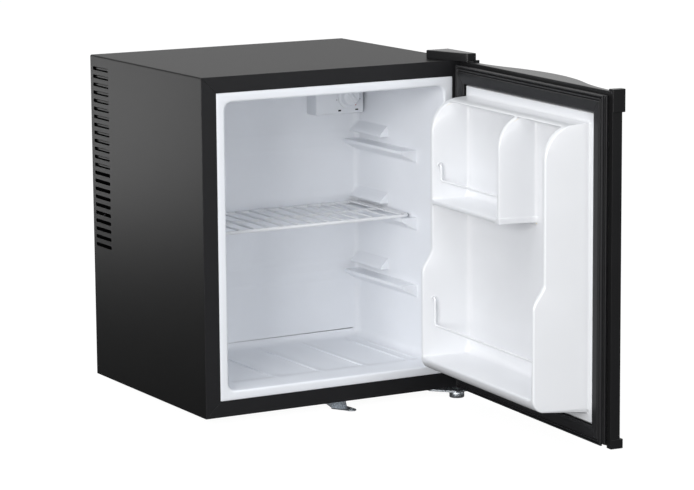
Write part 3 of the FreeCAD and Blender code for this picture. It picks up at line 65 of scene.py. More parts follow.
left = low_high("left_side_panel")[0][0]
right = low_high("right_side_panel")[1][0]
front = low_high("front_rail_left")[0][1]
back = low_high("rear_cover")[1][1]
base = low_high("bottom_panel")[0][2]
top = low_high("top_panel")[1][2]
joints = {joint["name"]: joint for joint in frame["joints"]}
hinge = joints["door_hinge"]
hinge_x, hinge_y = (value / MM for value in hinge["pos_m"][:2])
door_angle = math.radians(-hinge["range_deg"][0])
node_slot = {part["node"]: part["material_slot"] for part in frame["record"]["subparts"]}


# ---------------------------------------------------------------- shapes

def swung(points):
    """Closed door points turned by the door's angle about the upright line of the hinge pins."""
    c, s = math.cos(door_angle), math.sin(door_angle)
    x, y = points[..., 0] - hinge_x, points[..., 1] - hinge_y
    return places(hinge_x + x * c - y * s, hinge_y + x * s + y * c, points[..., 2])


def full_turn(count):
    """Angles evenly round a circle."""
    return np.linspace(0, 2 * math.pi, count, endpoint=False)


def quarter_turn(count):
    """Angles from level to upright, both kept."""
    return np.linspace(0, math.pi / 2, count)


def places(x, y, z):
    """Points from their three measures, each spread to the shape they share."""
    return np.stack(np.broadcast_arrays(x, y, z), -1)


def grid_faces(rows, columns, close_rows=False, close_columns=False):
    """Four-sided faces of a grid of points kept row by row; a closed direction joins its last line to its first."""
    i = np.arange(rows if close_rows else rows - 1)[:, None]
    j = np.arange(columns if close_columns else columns - 1)[None, :]
    i2, j2 = (i + 1) % rows, (j + 1) % columns
    corners = [i * columns + j, i * columns + j2, i2 * columns + j2, i2 * columns + j]
    return np.stack(np.broadcast_arrays(*corners), -1).reshape(-1, 4)


def stack_sheets(sheets):
    """One list of points and one of faces from several grids, each face counted on from the grids before it."""
    points, faces, count = [], [], 0
    for sheet_points, sheet_faces in sheets:
        flat = np.asarray(sheet_points, float).reshape(-1, 3)
        points.append(flat)
        faces += [tuple(int(v) + count for v in face) for face in sheet_faces]
        count += len(flat)
    return np.concatenate(points), faces


def make_piece(name, body, replaced, slot, sheets, look=None, sharp=35.0, wall=None, even=True):
    """A mesh from grids in millimetres: doubles merged, closed shells turned outwards, edges past an angle kept
    crisp. Its finish is the slot's own unless another look is named. With a wall it is an open sheet, and the wall
    is laid on the side away from the faces."""
    points, faces = stack_sheets(sheets)
    mesh = bpy.data.meshes.new(name)
    mesh.from_pydata((points * MM).tolist(), [], faces)
    work = bmesh.new()
    work.from_mesh(mesh)
    bmesh.ops.remove_doubles(work, verts=work.verts, dist=merge_distance * MM)
    bmesh.ops.dissolve_degenerate(work, edges=work.edges, dist=merge_distance * MM)
    if not wall:
        bmesh.ops.recalc_face_normals(work, faces=work.faces)
    work.to_mesh(mesh)
    work.free()
    piece = place_piece(name, mesh, body, replaced, look or slot, sharp)
    if wall:
        add_modifier(piece, "wall", "SOLIDIFY", thickness=wall * MM, offset=-1.0, use_even_offset=even,
                     use_quality_normals=True)


def crisp_rims(mesh):
    """Keeps the open edges of a sheet crisp, so that its flats stay evenly lit once it has a wall."""
    edge_of = np.empty(len(mesh.loops), np.int32)
    mesh.loops.foreach_get("edge_index", edge_of)
    crisp = mesh.attributes.get("sharp_edge") or mesh.attributes.new("sharp_edge", "BOOLEAN", "EDGE")
    marked = np.empty(len(mesh.edges), bool)
    crisp.data.foreach_get("value", marked)
    crisp.data.foreach_set("value", marked | (np.bincount(edge_of, minlength=len(mesh.edges)) == 1))


def place_piece(name, mesh, body, replaced, look, sharp):
    """Puts a finished mesh into the scene, on its body and in place of its CAD nodes."""
    mesh.materials.clear()
    mesh.materials.append(FINISHES[look])
    mesh.shade_smooth()
    mesh.set_sharp_from_angle(angle=math.radians(sharp))
    crisp_rims(mesh)
    piece = bpy.data.objects.new(name, mesh)
    bpy.context.scene.collection.objects.link(piece)
    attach(piece, body)
    if replaced:
        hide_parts(*replaced)
    return piece


def add_modifier(piece, name, kind, **settings):
    """A modifier on a piece, with its settings."""
    made = piece.modifiers.new(name, kind)
    for key, value in settings.items():
        setattr(made, key, value)


def soften(node, body, width, segments, sharp=35.0):
    """A copy of a CAD piece with its joins merged and its flats made whole, and its edges rounded by a width."""
    name, slot = node + "_finished", node_slot[node]
    mesh = frame["nodes"][node].data.copy()
    mesh.name = name
    work = bmesh.new()
    work.from_mesh(mesh)
    bmesh.ops.remove_doubles(work, verts=work.verts, dist=0.003 * MM)
    bmesh.ops.dissolve_limit(work, angle_limit=math.radians(0.4), verts=work.verts, edges=work.edges)
    work.to_mesh(mesh)
    work.free()
    mesh.validate()
    piece = place_piece(name, mesh, body, [node], slot, sharp)
    add_modifier(piece, "edge", "BEVEL", width=width * MM, segments=segments, limit_method="ANGLE",
                 angle_limit=math.radians(sharp), use_clamp_overlap=True, miter_outer="MITER_ARC", harden_normals=True)


def lines_through(marks, low, high, gap, least=0.15):
    """Grid lines from low to high through every mark, none wider apart than the gap; marks closer than least are
    dropped."""
    marks = np.unique(np.concatenate([np.asarray(marks, float), [low, high]]))
    marks = marks[(marks >= low) & (marks <= high)]
    kept = np.concatenate([[True], np.diff(marks) > least])
    marks = marks[kept]
    marks[-1] = high
    runs = [np.linspace(a, b, int(math.ceil((b - a) / gap)) + 1)[:-1] for a, b in zip(marks, marks[1:])]
    return np.concatenate(runs + [[high]])


def rounded_path(corners, bend, steps=6, closed=False):
    """Straight runs joined by arcs that touch both: each arc leaves its run at the tangent length and turns by the
    angle between the runs."""
    corners = [np.asarray(c, float) for c in corners]
    count = len(corners)
    path = [] if closed else [corners[0]]
    for k in range(count) if closed else range(1, count - 1):
        before, here, after = corners[k - 1], corners[k], corners[(k + 1) % count]
        inward = (here - before) / np.linalg.norm(here - before)
        onward = (after - here) / np.linalg.norm(after - here)
        turn = math.acos(np.clip(inward @ onward, -1, 1))
        start = here - inward * bend * math.tan(turn / 2)
        side = onward - inward * (inward @ onward)
        side /= np.linalg.norm(side)
        angles = np.linspace(0, turn, steps)
        path += list(start + bend * (np.sin(angles)[:, None] * inward + (1 - np.cos(angles))[:, None] * side))
    if not closed:
        path.append(corners[-1])
    return np.array(path)


def tube(path, radius, flat, sides=14, closed=False):
    """Round bar: at each point of a path in one plane, a circle across the path. Open ends are domed shut."""
    path = np.asarray(path, float)
    along = (np.roll(path, -1, 0) - np.roll(path, 1, 0)) if closed else np.gradient(path, axis=0)
    along /= np.linalg.norm(along, axis=1)[:, None]
    size = np.full(len(path), float(radius))
    if not closed:
        dome = quarter_turn(5)[1:]
        first = path[0] - along[0] * (radius * np.sin(dome))[::-1, None]
        last = path[-1] + along[-1] * (radius * np.sin(dome))[:, None]
        ring = radius * np.cos(dome)
        path = np.concatenate([first, path, last])
        along = np.concatenate([np.repeat(along[:1], 4, 0), along, np.repeat(along[-1:], 4, 0)])
        size = np.concatenate([ring[::-1], size, ring])
    flat = np.asarray(flat, float)
    side = np.cross(flat, along)
    side /= np.linalg.norm(side, axis=1)[:, None]
    turn = full_turn(sides)
    round_ = np.cos(turn)[None, :, None] * side[:, None, :] + np.sin(turn)[None, :, None] * flat
    points = path[:, None, :] + size[:, None, None] * round_
    return points, grid_faces(len(path), sides, close_rows=closed, close_columns=True)


def lathe(profile, centre, axis, across, sides=64):
    """A closed section of radius and height turned about an axis: each pair makes a circle at its height."""
    profile = np.asarray(profile, float)
    turn = full_turn(sides)
    other = np.cross(axis, across)
    round_ = np.cos(turn)[:, None] * across + np.sin(turn)[:, None] * other
    points = centre + profile[:, 1][:, None, None] * axis + profile[:, 0][:, None, None] * round_[None]
    return points, grid_faces(len(profile), sides, close_rows=True, close_columns=True)


def ease(value, start, end):
    """0 before start, 1 after end, and a smooth S between."""
    t = np.clip((value - start) / (end - start), 0, 1)
    return t * t * (3 - 2 * t)


def rounded_loop(half_across, half_up, corner, steps=5):
    """A rounded rectangle about the origin: four quarter circles about centres that stand in from its corners."""
    turn = quarter_turn(steps)
    angles = (turn[None] + np.arange(4)[:, None] * math.pi / 2).ravel()
    way = np.stack([np.cos(angles), np.sin(angles)], -1)
    quarter = np.repeat(np.array([(1, 1), (-1, 1), (-1, -1), (1, -1)], float), steps, 0)
    return quarter * (np.array([half_across, half_up]) - corner), way


def loop_at(middle, half_across, half_up, corner, y):
    """A rounded rectangle that stands upright at a depth, about a middle across and up."""
    centre, way = rounded_loop(half_across, half_up, corner)
    flat = centre + way * corner
    return places(middle[0] + flat[:, 0], y, middle[1] + flat[:, 1])


def capped(points):
    """Faces of closed rings laid one after another, with the first and the last ring filled."""
    rows, columns = points.shape[:2]
    faces = [tuple(face) for face in grid_faces(rows, columns, close_columns=True)]
    faces += [tuple(range((rows - 1) * columns, rows * columns)), tuple(range(columns))[::-1]]
    return points, faces


# ---------------------------------------------------------------- finishes

slow_grain = 60.0
noise_detail = 3.0
gloss_swing = 0.12


def add_node(tree, kind, inputs=None, **settings):
    """A new shader node: its settings, then its inputs, each linked to a socket or set to a constant."""
    made = tree.nodes.new("ShaderNode" + kind)
    for key, value in settings.items():
        setattr(made, key, value)
    for key, value in (inputs or {}).items():
        if isinstance(value, bpy.types.NodeSocket):
            tree.links.new(value, made.inputs[key])
        else:
            made.inputs[key].default_value = value
    return made


def finish(name, colour, roughness, grain, tone=0.04, relief=0.02, strength=0.2, stretch=(1.0, 1.0, 1.0),
           metallic=0.0, coat=0.0, specular=0.5):
    """A surface whose tone shifts by slow noise that is fixed to the piece. One with a relief, a height in
    millimetres, also has a fine grain in its surface and gloss, drawn out along an axis by a stretch."""
    material = bpy.data.materials.new(name)
    material.use_nodes = True
    tree = material.node_tree
    shader = tree.nodes["Principled BSDF"].inputs
    for socket, value in (("Base Color", (*colour, 1.0)), ("Roughness", roughness), ("Metallic", metallic),
                          ("Coat Weight", coat), ("Specular IOR Level", specular)):
        shader[socket].default_value = value
    place = add_node(tree, "TexCoord").outputs["Object"]

    def noise(size, along):
        """Noise with a grain in millimetres."""
        turned = add_node(tree, "Mapping", {"Scale": [1.0 / s for s in along], "Vector": place})
        settings = {"Scale": 1.0 / (size * MM), "Detail": noise_detail, "Vector": turned.outputs["Vector"]}
        return add_node(tree, "TexNoise", settings).outputs["Fac"]

    def spread(amount, low, high):
        """The middle half of the noise, mapped between two numbers."""
        limits = {"From Min": 0.25, "From Max": 0.75, "To Min": low, "To Max": high, "Value": amount}
        return add_node(tree, "MapRange", limits).outputs["Result"]

    tones = {"Factor": spread(noise(slow_grain, (1.0, 1.0, 1.0)), 0.0, 1.0),
             "A": (*[c * (1 - tone) for c in colour], 1.0),
             "B": (*[min(1.0, c * (1 + tone)) for c in colour], 1.0)}
    mix = add_node(tree, "Mix", tones, data_type="RGBA")
    tree.links.new(mix.outputs["Result"], shader["Base Color"])
    if relief:
        fine = noise(grain, stretch)
        rough = spread(fine, roughness * (1 - gloss_swing), min(1.0, roughness * (1 + gloss_swing)))
        bump = add_node(tree, "Bump", {"Distance": relief * MM, "Strength": strength, "Height": fine})
        tree.links.new(rough, shader["Roughness"])
        tree.links.new(bump.outputs["Normal"], shader["Normal"])
    return material


# by slot or look: name, colour, roughness, grain, tone, relief, strength of the relief, stretch
FINISHES = {
    "painted_shell": finish("satin_black_paint", (0.005, 0.005, 0.0051), 0.4, 0.9, 0.08, 0.05, 0.18,
                            specular=0.05),
    "front_frame": finish("black_front_frame_paint", (0.0125, 0.0125, 0.0137), 0.42, 0.8, 0.06, 0.03, 0.12,
                          specular=0.2),
    "galvanised_sheet": finish("galvanised_zinc_sheet", (0.46, 0.47, 0.48), 0.42, 14.0, 0.16, 0.05, 0.2,
                               metallic=0.9),
    "supply_case": finish("grey_supply_case", (0.34, 0.35, 0.36), 0.45, 0.7, 0.05, 0.04, 0.2),
    "zinc_plate": finish("bright_zinc_plating", (0.6, 0.64, 0.68), 0.28, 2.2, 0.12, 0.03, 0.25, metallic=1.0),
    "steel_pin": finish("turned_steel", (0.56, 0.56, 0.57), 0.24, 0.5, 0.06, 0.02, 0.3, (8.0, 8.0, 0.6),
                        metallic=1.0),
    # the door's liner is the same white plastic as the inner liner; this darker copy is painted shade, so the door's
    # inside reads less bright under the lamps
    "door_white_shaded": finish("formed_white_liner_shaded_copy", (0.79, 0.802, 0.825), 0.3, 40.0, 0.012, 0, coat=0.25),
    "white_liner": finish("formed_white_liner", (0.845, 0.868, 0.908), 0.3, 40.0, 0.012, 0, coat=0.25),
    "white_moulding": finish("white_moulded_plastic", (0.82, 0.842, 0.878), 0.36, 8.0, 0.012, 0),
    "insulation_foam": finish("poured_insulation_foam", (0.79, 0.69, 0.44), 0.9, 1.6, 0.1, 0.4, 0.6),
    "black_moulding": finish("black_moulded_plastic", (0.011, 0.011, 0.0115), 0.3, 0.7, 0.06, 0.02, 0.08,
                             specular=0.18),
    "gasket_rubber": finish("dark_seal_rubber", (0.012, 0.012, 0.013), 0.42, 0.6, 0.07, 0.03, 0.2, specular=0.25),
    "magnet_strip": finish("brown_magnet_strip", (0.06, 0.045, 0.04), 0.7, 0.8, 0.1, 0.05, 0.3),
    "bare_aluminium": finish("mill_aluminium", (0.78, 0.79, 0.8), 0.32, 0.6, 0.06, 0.02, 0.25, (1.0, 1.0, 12.0),
                             metallic=1.0),
    "copper_pipe": finish("drawn_copper_pipe", (0.72, 0.36, 0.22), 0.3, 1.2, 0.12, 0.02, 0.2, metallic=1.0),
    "module_ceramic": finish("module_white_ceramic", (0.82, 0.82, 0.79), 0.6, 0.4, 0.03, 0.02, 0.2),
    "brass_insert": finish("turned_brass", (0.74, 0.56, 0.25), 0.3, 0.6, 0.08, 0.02, 0.3, metallic=1.0),
    "coated_wire": finish("white_wire_coating", (0.85, 0.863, 0.885), 0.28, 20.0, 0.02, 0, coat=0.2),
    "red_print": finish("red_print", (0.55, 0.08, 0.08), 0.5, 0.5, 0.05, 0.01, 0.1),
    "bush_plastic": finish("natural_bush_plastic", (0.74, 0.73, 0.69), 0.5, 0.6, 0.04, 0.02, 0.2),
}


# ---------------------------------------------------------------- camera

camera_place = (-2.0754, -3.8801, 0.9698)
camera_yaw = math.radians(29.47)
camera_pitch = math.radians(9.744)
camera_roll = math.radians(-0.449)
camera_lens = 156.25


def stand(name, data, place, across, upward, ahead):
    """Puts a camera or a lamp into the scene at a place, looking ahead."""
    thing = bpy.data.objects.new(name, data)
    bpy.context.scene.collection.objects.link(thing)
    turn = np.eye(4)
    turn[:3] = np.stack([across, upward, -ahead, np.array(place)], -1)
    thing.matrix_world = Matrix(turn.tolist())
    return thing


def aim_camera():
    """The camera looks along a yaw from +Y toward +X and a pitch below level, then rolls about that line."""
    ahead = np.array([math.sin(camera_yaw) * math.cos(camera_pitch),
                      math.cos(camera_yaw) * math.cos(camera_pitch), -math.sin(camera_pitch)])
    level = np.array([math.cos(camera_yaw), -math.sin(camera_yaw), 0.0])
    upright = np.cross(level, ahead)
    c, s = math.cos(camera_roll), math.sin(camera_roll)
    data = bpy.data.cameras.new("camera")
    data.sensor_width = 36.0
    data.lens = camera_lens
    data.clip_start, data.clip_end = 0.1, 60.0
    return stand("camera", data, camera_place, level * c + upright * s, upright * c - level * s, ahead)


bpy.context.scene.camera = aim_camera()


# ---------------------------------------------------------------- cabinet shell

shell_radius = 2.2
shell_sheet = 0.8
bend_support = 0.7
louvre_count = 23
louvre_pitch = 12.0
louvre_height = 5.5
louvre_length = 52.5
louvre_rear_inset = 8.5
louvre_top_drop = 19.0
louvre_corner = 2.2
louvre_margin = 1.4
blade_count = 13
blade_depth = 3.2
blade_sheet = 0.7
slot_levels = top - louvre_top_drop - louvre_pitch * np.arange(louvre_count)
slot_y1 = back - louvre_rear_inset
slot_y0 = slot_y1 - louvre_length


def slot_rims():
    """Each slot's surround: a rounded rectangle joined to a square-cornered one by spokes that leave each corner's
    centre."""
    centre, way = rounded_loop(louvre_length / 2, louvre_height / 2, louvre_corner)
    inner = centre + way * louvre_corner
    outer = centre + way * ((louvre_corner + louvre_margin) / np.abs(way).max(1))[:, None]
    ring = np.stack([outer, inner])
    marks = np.unique(np.round(outer, 4), axis=0)
    middle = (slot_y0 + slot_y1) / 2
    sheets = []
    for level in slot_levels:
        points = places(left, middle + ring[..., 0], level + ring[..., 1])
        sheets.append((points, grid_faces(2, len(way), close_columns=True)[:, ::-1]))
    return sheets, np.unique(marks[:, 0]) + middle, np.unique(marks[:, 1])


def folded_shell():
    """A U of sheet over the cabinet, left side, top and right side, carried along Y. Slots are left open on the
    left side."""
    y0, y1 = low_high("left_side_panel")[0][1], low_high("left_side_panel")[1][1]
    rims, marks_y, marks_z = slot_rims()
    marks = np.concatenate([(slot_levels[:, None] + marks_z[None]).ravel(), [top - shell_radius - bend_support]])
    side_z = lines_through(marks, base, top - shell_radius, 40.0)
    bend = quarter_turn(6)
    top_x = lines_through([left + shell_radius + bend_support, right - shell_radius - bend_support],
                          left + shell_radius, right - shell_radius, 40.0)
    x = np.concatenate([np.full(len(side_z), left), left + shell_radius * (1 - np.cos(bend))[1:], top_x[1:-1],
                        (right - shell_radius * (1 - np.cos(bend)))[::-1][:-1], np.full(len(side_z), right)])
    z = np.concatenate([side_z, top - shell_radius * (1 - np.sin(bend))[1:], np.full(len(top_x) - 2, top),
                        (top - shell_radius * (1 - np.sin(bend)))[::-1][:-1], side_z[::-1]])
    y = lines_through(marks_y, y0, y1, 60.0)
    points = places(x[:, None], y[None, :], z[:, None])
    faces = grid_faces(len(x), len(y))
    middle = points.reshape(-1, 3)[faces].mean(1)
    on_left = middle[:, 0] < left + 0.01
    in_slot = np.abs(middle[:, 2][:, None] - slot_levels[None]).min(1) < louvre_height / 2 + louvre_margin
    along = (middle[:, 1] > slot_y0 - louvre_margin) & (middle[:, 1] < slot_y1 + louvre_margin)
    return [(points, faces[~(on_left & in_slot & along)][:, ::-1])] + rims


def louvre_blades():
    """A strip pressed inwards behind each upper slot: it leaves the slot's top edge, bends in by an S and hangs
    parallel to the side."""
    share = np.linspace(0, 1, 7)
    depth = np.concatenate([shell_sheet + (blade_depth - shell_sheet) * ease(share, 0, 1), [blade_depth] * 3])
    fall = np.concatenate([0.1 + 1.5 * share, [2.2, 3.1, louvre_height - 1.5]])
    y = np.linspace(slot_y0 + 0.5, slot_y1 - 0.2, 12)
    sheets = []
    for level in slot_levels[:blade_count]:
        edge = level + louvre_height / 2
        points = places(left + depth[:, None], y[None, :], (edge - fall)[:, None])
        sheets.append((points, grid_faces(len(depth), len(y))))
    return sheets


shell_nodes = ["left_side_panel", "top_panel", "right_side_panel"]
make_piece("folded_cabinet_shell", "cabinet", shell_nodes, "painted_shell", folded_shell(), wall=shell_sheet)
make_piece("louvre_blades", "cabinet", [], "painted_shell", louvre_blades(), sharp=60.0, wall=blade_sheet)


# ---------------------------------------------------------------- inner liner

rim_outer_inset = 23.2
rim_recess = 0.6
rim_back = 2.6
rim_bend = 3.5
wall_inset = 37.0
rim_width = wall_inset - rim_outer_inset
floor_inset = 36.0
liner_depth = 255.0
liner_corner = 12.0
liner_back_round = 10.0
corner_tuck = 0.98
radius_tuck = 0.75
liner_sheet = 1.8
shelf_heights = (106.0, 206.5, 307.0)
ledge_start = 80.0
ledge_reach = 24.0
ledge_lip = 5.0
ledge_drop = 18.5
keeper_start = 164.0
keeper_reach = 13.0
keeper_height = 16.5
keeper_lip = 3.0
shelf_slot = 10.5
threshold = 60.0
floor_recess = 1.5
rib_pitch = 74.0
rib_width = 5.0
rib_count = 5
liner_left, liner_right = left + wall_inset, right - wall_inset
liner_floor, liner_ceiling = base + floor_inset, top - wall_inset
own_x = liner_left + liner_corner, liner_right - liner_corner
own_z = liner_floor + liner_corner, liner_ceiling - liner_corner


def side_wall_nodes():
    """Heights up a side wall at rest, and for each the ledge's and the keeper's reach and shift where they stand
    out. A row below is the height at rest, the reach, and the height it is moved to, or 0 to stay."""
    ledges, keepers = [], []
    slope = (ledge_drop - ledge_lip) / ledge_reach
    for height in shelf_heights:
        level = liner_floor + height
        foot = level - ledge_drop
        ledges += [(foot - 3.0, 0, 0), (foot - 0.8, 0, 0), (foot + 0.6, 1.0, 0)]
        ledges += [(foot + 0.6 + share * 6.0, share * ledge_reach, foot + share * ledge_reach * slope)
                   for share in (0.25, 0.5, 0.75, 0.93)]
        ledges += [(level - 8.6, ledge_reach - 0.35, level - ledge_lip + 0.1),
                   (level - 7.4, ledge_reach, level - ledge_lip + 1.0), (level - 6.2, ledge_reach, level - 1.6),
                   (level - 5.0, ledge_reach - 0.25, level - 0.7), (level - 4.0, ledge_reach - 0.8, level - 0.2),
                   (level - 3.0, ledge_reach - 1.6, level), (level - 2.0, ledge_reach / 2, level),
                   (level - 1.0, 1.2, level), (level - 0.2, 0.3, level + 0.3), (level + 0.8, 0, level + 1.0)]
        under = level + shelf_slot
        crest = under + keeper_height
        keepers += [(under - 1.4, 0, 0), (under - 0.3, 0.3, under - 0.2), (under + 0.4, 1.0, under),
                    (under + 1.4, keeper_reach - 1.4, under), (under + 2.4, keeper_reach - 0.4, under + 0.4),
                    (under + 3.4, keeper_reach, under + 1.4), (under + 4.6, keeper_reach, under + keeper_lip - 0.6),
                    (under + 6.0, keeper_reach - 0.5, under + keeper_lip + 0.5),
                    (under + 9.0, keeper_reach * 0.6, under + keeper_lip + (keeper_height - keeper_lip) * 0.4),
                    (crest - 1.2, 1.0, crest - 1.0), (crest, 0.2, crest - 0.1), (crest + 1.6, 0, 0)]
    rows = np.concatenate([np.pad(np.array(ledges, float), ((0, 0), (0, 2))),
                           np.insert(np.array(keepers, float), [1, 1], 0, axis=1)])
    fill = lines_through([], *own_z, 22.0)
    fill = fill[np.abs(fill[:, None] - rows[:, 0]).min(1) > 3.0]
    rows = np.concatenate([rows, np.pad(fill[:, None], ((0, 0), (0, 4)))])
    z, ledge_in, ledge_at, keeper_in, keeper_at = rows[np.argsort(rows[:, 0], kind="stable")].T
    shift = lambda moved_to: np.where(moved_to > 0, moved_to - z, 0)
    return z, ledge_in, shift(ledge_at), keeper_in, shift(keeper_at)


def floor_nodes():
    """Places across the floor, and how far each sinks behind the threshold: ribs stay up, the rest goes down."""
    centres = (np.arange(rib_count) - (rib_count - 1) / 2) * rib_pitch
    edge = np.array([-0.9, -0.3, 0.2, 0.8])
    steps = np.concatenate([edge - rib_width / 2, rib_width / 2 - edge[::-1]])
    low, high = own_x
    x = np.concatenate([(centres[:, None] + steps[None]).ravel(), [low + 1.0, low + 2.4, high - 2.4, high - 1.0]])
    drop = np.concatenate([np.tile([1.0, 0.85, 0.15, 0, 0, 0.15, 0.85, 1.0], rib_count), [0, 1, 1, 0]])
    fill = lines_through([], low + 8, high - 8, 18.0)
    fill = fill[np.abs(fill[:, None] - x[None]).min(1) > 4.0]
    x = np.concatenate([x, fill])
    drop = np.concatenate([drop, np.ones(len(fill))])
    order = np.argsort(x)
    return x[order], drop[order]


def rising(heights, least=0.02):
    """The same heights, each at least a little above the one before it."""
    climb = np.arange(len(heights)) * least
    return np.maximum.accumulate(heights - climb) + climb


def liner_form():
    """Loops round the tub's rounded-rectangle section, carried from the rim to the back. Each loop moves in with the
    rim's profile or the back's fillet; ledges and keepers push side nodes in, and the floor sinks between its
    ribs."""
    side_z, *pushes = side_wall_nodes()
    floor_x, floor_drop = floor_nodes()
    ceiling_x = lines_through([], *own_x, 30.0)
    arc = quarter_turn(7)[1:-1]
    # a loop's eight runs: 0 left side downwards, 2 floor to the right, 4 right side upwards, 6 ceiling to the left;
    # after each comes its corner
    straight = [len(side_z), len(floor_x), len(side_z), len(ceiling_x)]
    counts = [count for length in straight for count in (length, len(arc))]
    run = np.repeat(np.arange(8), counts)

    def laid(left_side, floor, right_side):
        """Values along a loop, nothing on the ceiling and the corners."""
        values = np.zeros(len(run))
        values[run == 0], values[run == 2], values[run == 4] = left_side, floor, right_side
        return values

    inward = laid(1.0, 0.0, -1.0)
    ledge_x, ledge_up, keeper_x, keeper_up = (laid(push[::-1], 0.0, push) for push in pushes)
    # the profile, as way in from the rim's edge, depth and corner radius: from the back of the rim, round its face,
    # into the wall, along the depth and round the back
    rim = [(0.0, rim_back, 1.0), (0.0, 1.1, 1.0), (0.15, 0.75, 1.0), (0.5, rim_recess, 1.0), (5.0, rim_recess, 5.0),
           (rim_width - rim_bend, rim_recess, 10.0)]
    turn = quarter_turn(7)[1:]
    rim += [(rim_width - rim_bend * (1 - math.sin(t)), rim_recess + rim_bend * (1 - math.cos(t)), liner_corner)
            for t in turn]
    starts = [start + step for start in (ledge_start, keeper_start) for step in (-0.6, 0.0, 0.5, 1.2)]
    starts += [threshold + step for step in (-1.0, -0.2, 0.6, 1.4)]
    walls = [(rim_width, depth, liner_corner)
             for depth in lines_through(starts, 6.0, liner_depth - liner_back_round, 22.0)]
    fillet = [(rim_width, liner_depth - liner_back_round * (1 - math.sin(t)), liner_corner) for t in turn]
    way_in, depth, radius = np.array(rim + walls + fillet).T
    tuck = np.concatenate([np.zeros(len(rim) + len(walls)), liner_back_round * (1 - np.cos(turn))])[:, None]
    inset = (rim_outer_inset + way_in)[:, None]
    low_inset = (rim_outer_inset + way_in * (floor_inset - rim_outer_inset) / rim_width)[:, None]
    r = radius[:, None] - radius_tuck * tuck
    x_l, x_r, z_l, z_h = left + inset, right - inset, base + low_inset, top - inset
    share = np.clip((way_in - 5.0) / 5.0, 0, 1)[:, None]

    def straight_run(nodes, low, high, own):
        """Nodes keep their place where the section is the tub's own, and spread over the longer rim outside it."""
        even = low + r + (nodes - own[0]) / (own[1] - own[0]) * (high - low - 2 * r)
        return share * nodes + (1 - share) * even

    def quarter(middle_x, middle_z, turned):
        """A corner's quarter circle, begun at an angle."""
        return middle_x + r * np.cos(turned + arc), middle_z + r * np.sin(turned + arc)

    corners = [quarter(x_l + r, z_l + r, math.pi), quarter(x_r - r, z_l + r, 1.5 * math.pi),
               quarter(x_r - r, z_h - r, 0.0), quarter(x_l + r, z_h - r, 0.5 * math.pi)]
    sides = [straight_run(side_z[::-1], z_l, z_h, own_z), straight_run(side_z, z_l, z_h, own_z)]
    levels = [straight_run(floor_x, x_l, x_r, own_x), straight_run(ceiling_x[::-1], x_l, x_r, own_x)]
    one = np.ones_like
    x_runs = [x_l * one(sides[0]), levels[0], x_r * one(sides[1]), levels[1]]
    z_runs = [sides[0], z_l * one(levels[0]), sides[1], z_h * one(levels[1])]
    x = np.concatenate([part for straight_x, corner in zip(x_runs, corners) for part in (straight_x, corner[0])], 1)
    z = np.concatenate([part for straight_z, corner in zip(z_runs, corners) for part in (straight_z, corner[1])], 1)
    ledge_on = ease(depth, ledge_start - 0.5, ledge_start + 0.5)[:, None]
    keeper_on = ease(depth, keeper_start - 0.5, keeper_start + 0.5)[:, None]
    sunk = laid(0.0, floor_recess * floor_drop, 0.0)
    sink_on = ease(depth, threshold - 0.6, threshold + 0.8)[:, None]
    sink_on = sink_on * (1 - ease(depth, liner_depth - 12.0, liner_depth - 9.0)[:, None])
    reach = np.maximum(ledge_x * ledge_on, keeper_x * keeper_on)
    x = x + inward * np.maximum(reach, tuck)
    z = z + ledge_up * ledge_on + keeper_up * keeper_on - sunk * sink_on
    # corners, floor and ceiling move in with the back fillet
    middle_z = (liner_floor + liner_ceiling) / 2
    z = z + tuck * (run == 2) - tuck * (run == 6)
    x = x - np.sign(x) * tuck * corner_tuck * (run % 2)
    z = z - np.sign(z - middle_z) * tuck * corner_tuck * (run % 2)
    # the back wall: a strip from side to side between each two heights, one face below them and one above
    rows, columns = x.shape
    height, right_start = len(side_z), sum(counts[:4])
    upward = rising(z[-1, right_start:right_start + height])
    z[-1, right_start:right_start + height], z[-1, :height] = upward, upward[::-1]
    points = places(x, front + depth[:, None], z)
    last = (rows - 1) * columns
    left_up, right_up = last + height - 1 - np.arange(height), last + right_start + np.arange(height)
    strips = np.stack([left_up[1:], left_up[:-1], right_up[:-1], right_up[1:]], 1)
    faces = [tuple(f) for f in np.concatenate([grid_faces(rows, columns, close_columns=True), strips])]
    faces.append(tuple(range(left_up[0], right_up[0] + 1)))
    faces.append((*range(right_up[-1], last + columns), last))
    return points, faces


make_piece("inner_liner_form", "cabinet", ["inner_liner", "liner_sides"], "white_liner", [liner_form()],
           sharp=40.0, wall=liner_sheet, even=False)


# ---------------------------------------------------------------- wire shelf

shelf_low, shelf_high = low_high("wire_shelf")
shelf_frame_radius = 2.5
shelf_wire_radius = 1.5
shelf_wire_count = 14
shelf_wire_side_gap = 14.25
shelf_corner = 14.0
shelf_wire_lift = 2.0
shelf_wire_end_drop = 1.6
shelf_wire_bend = 4.0
shelf_brace_radius = 2.1


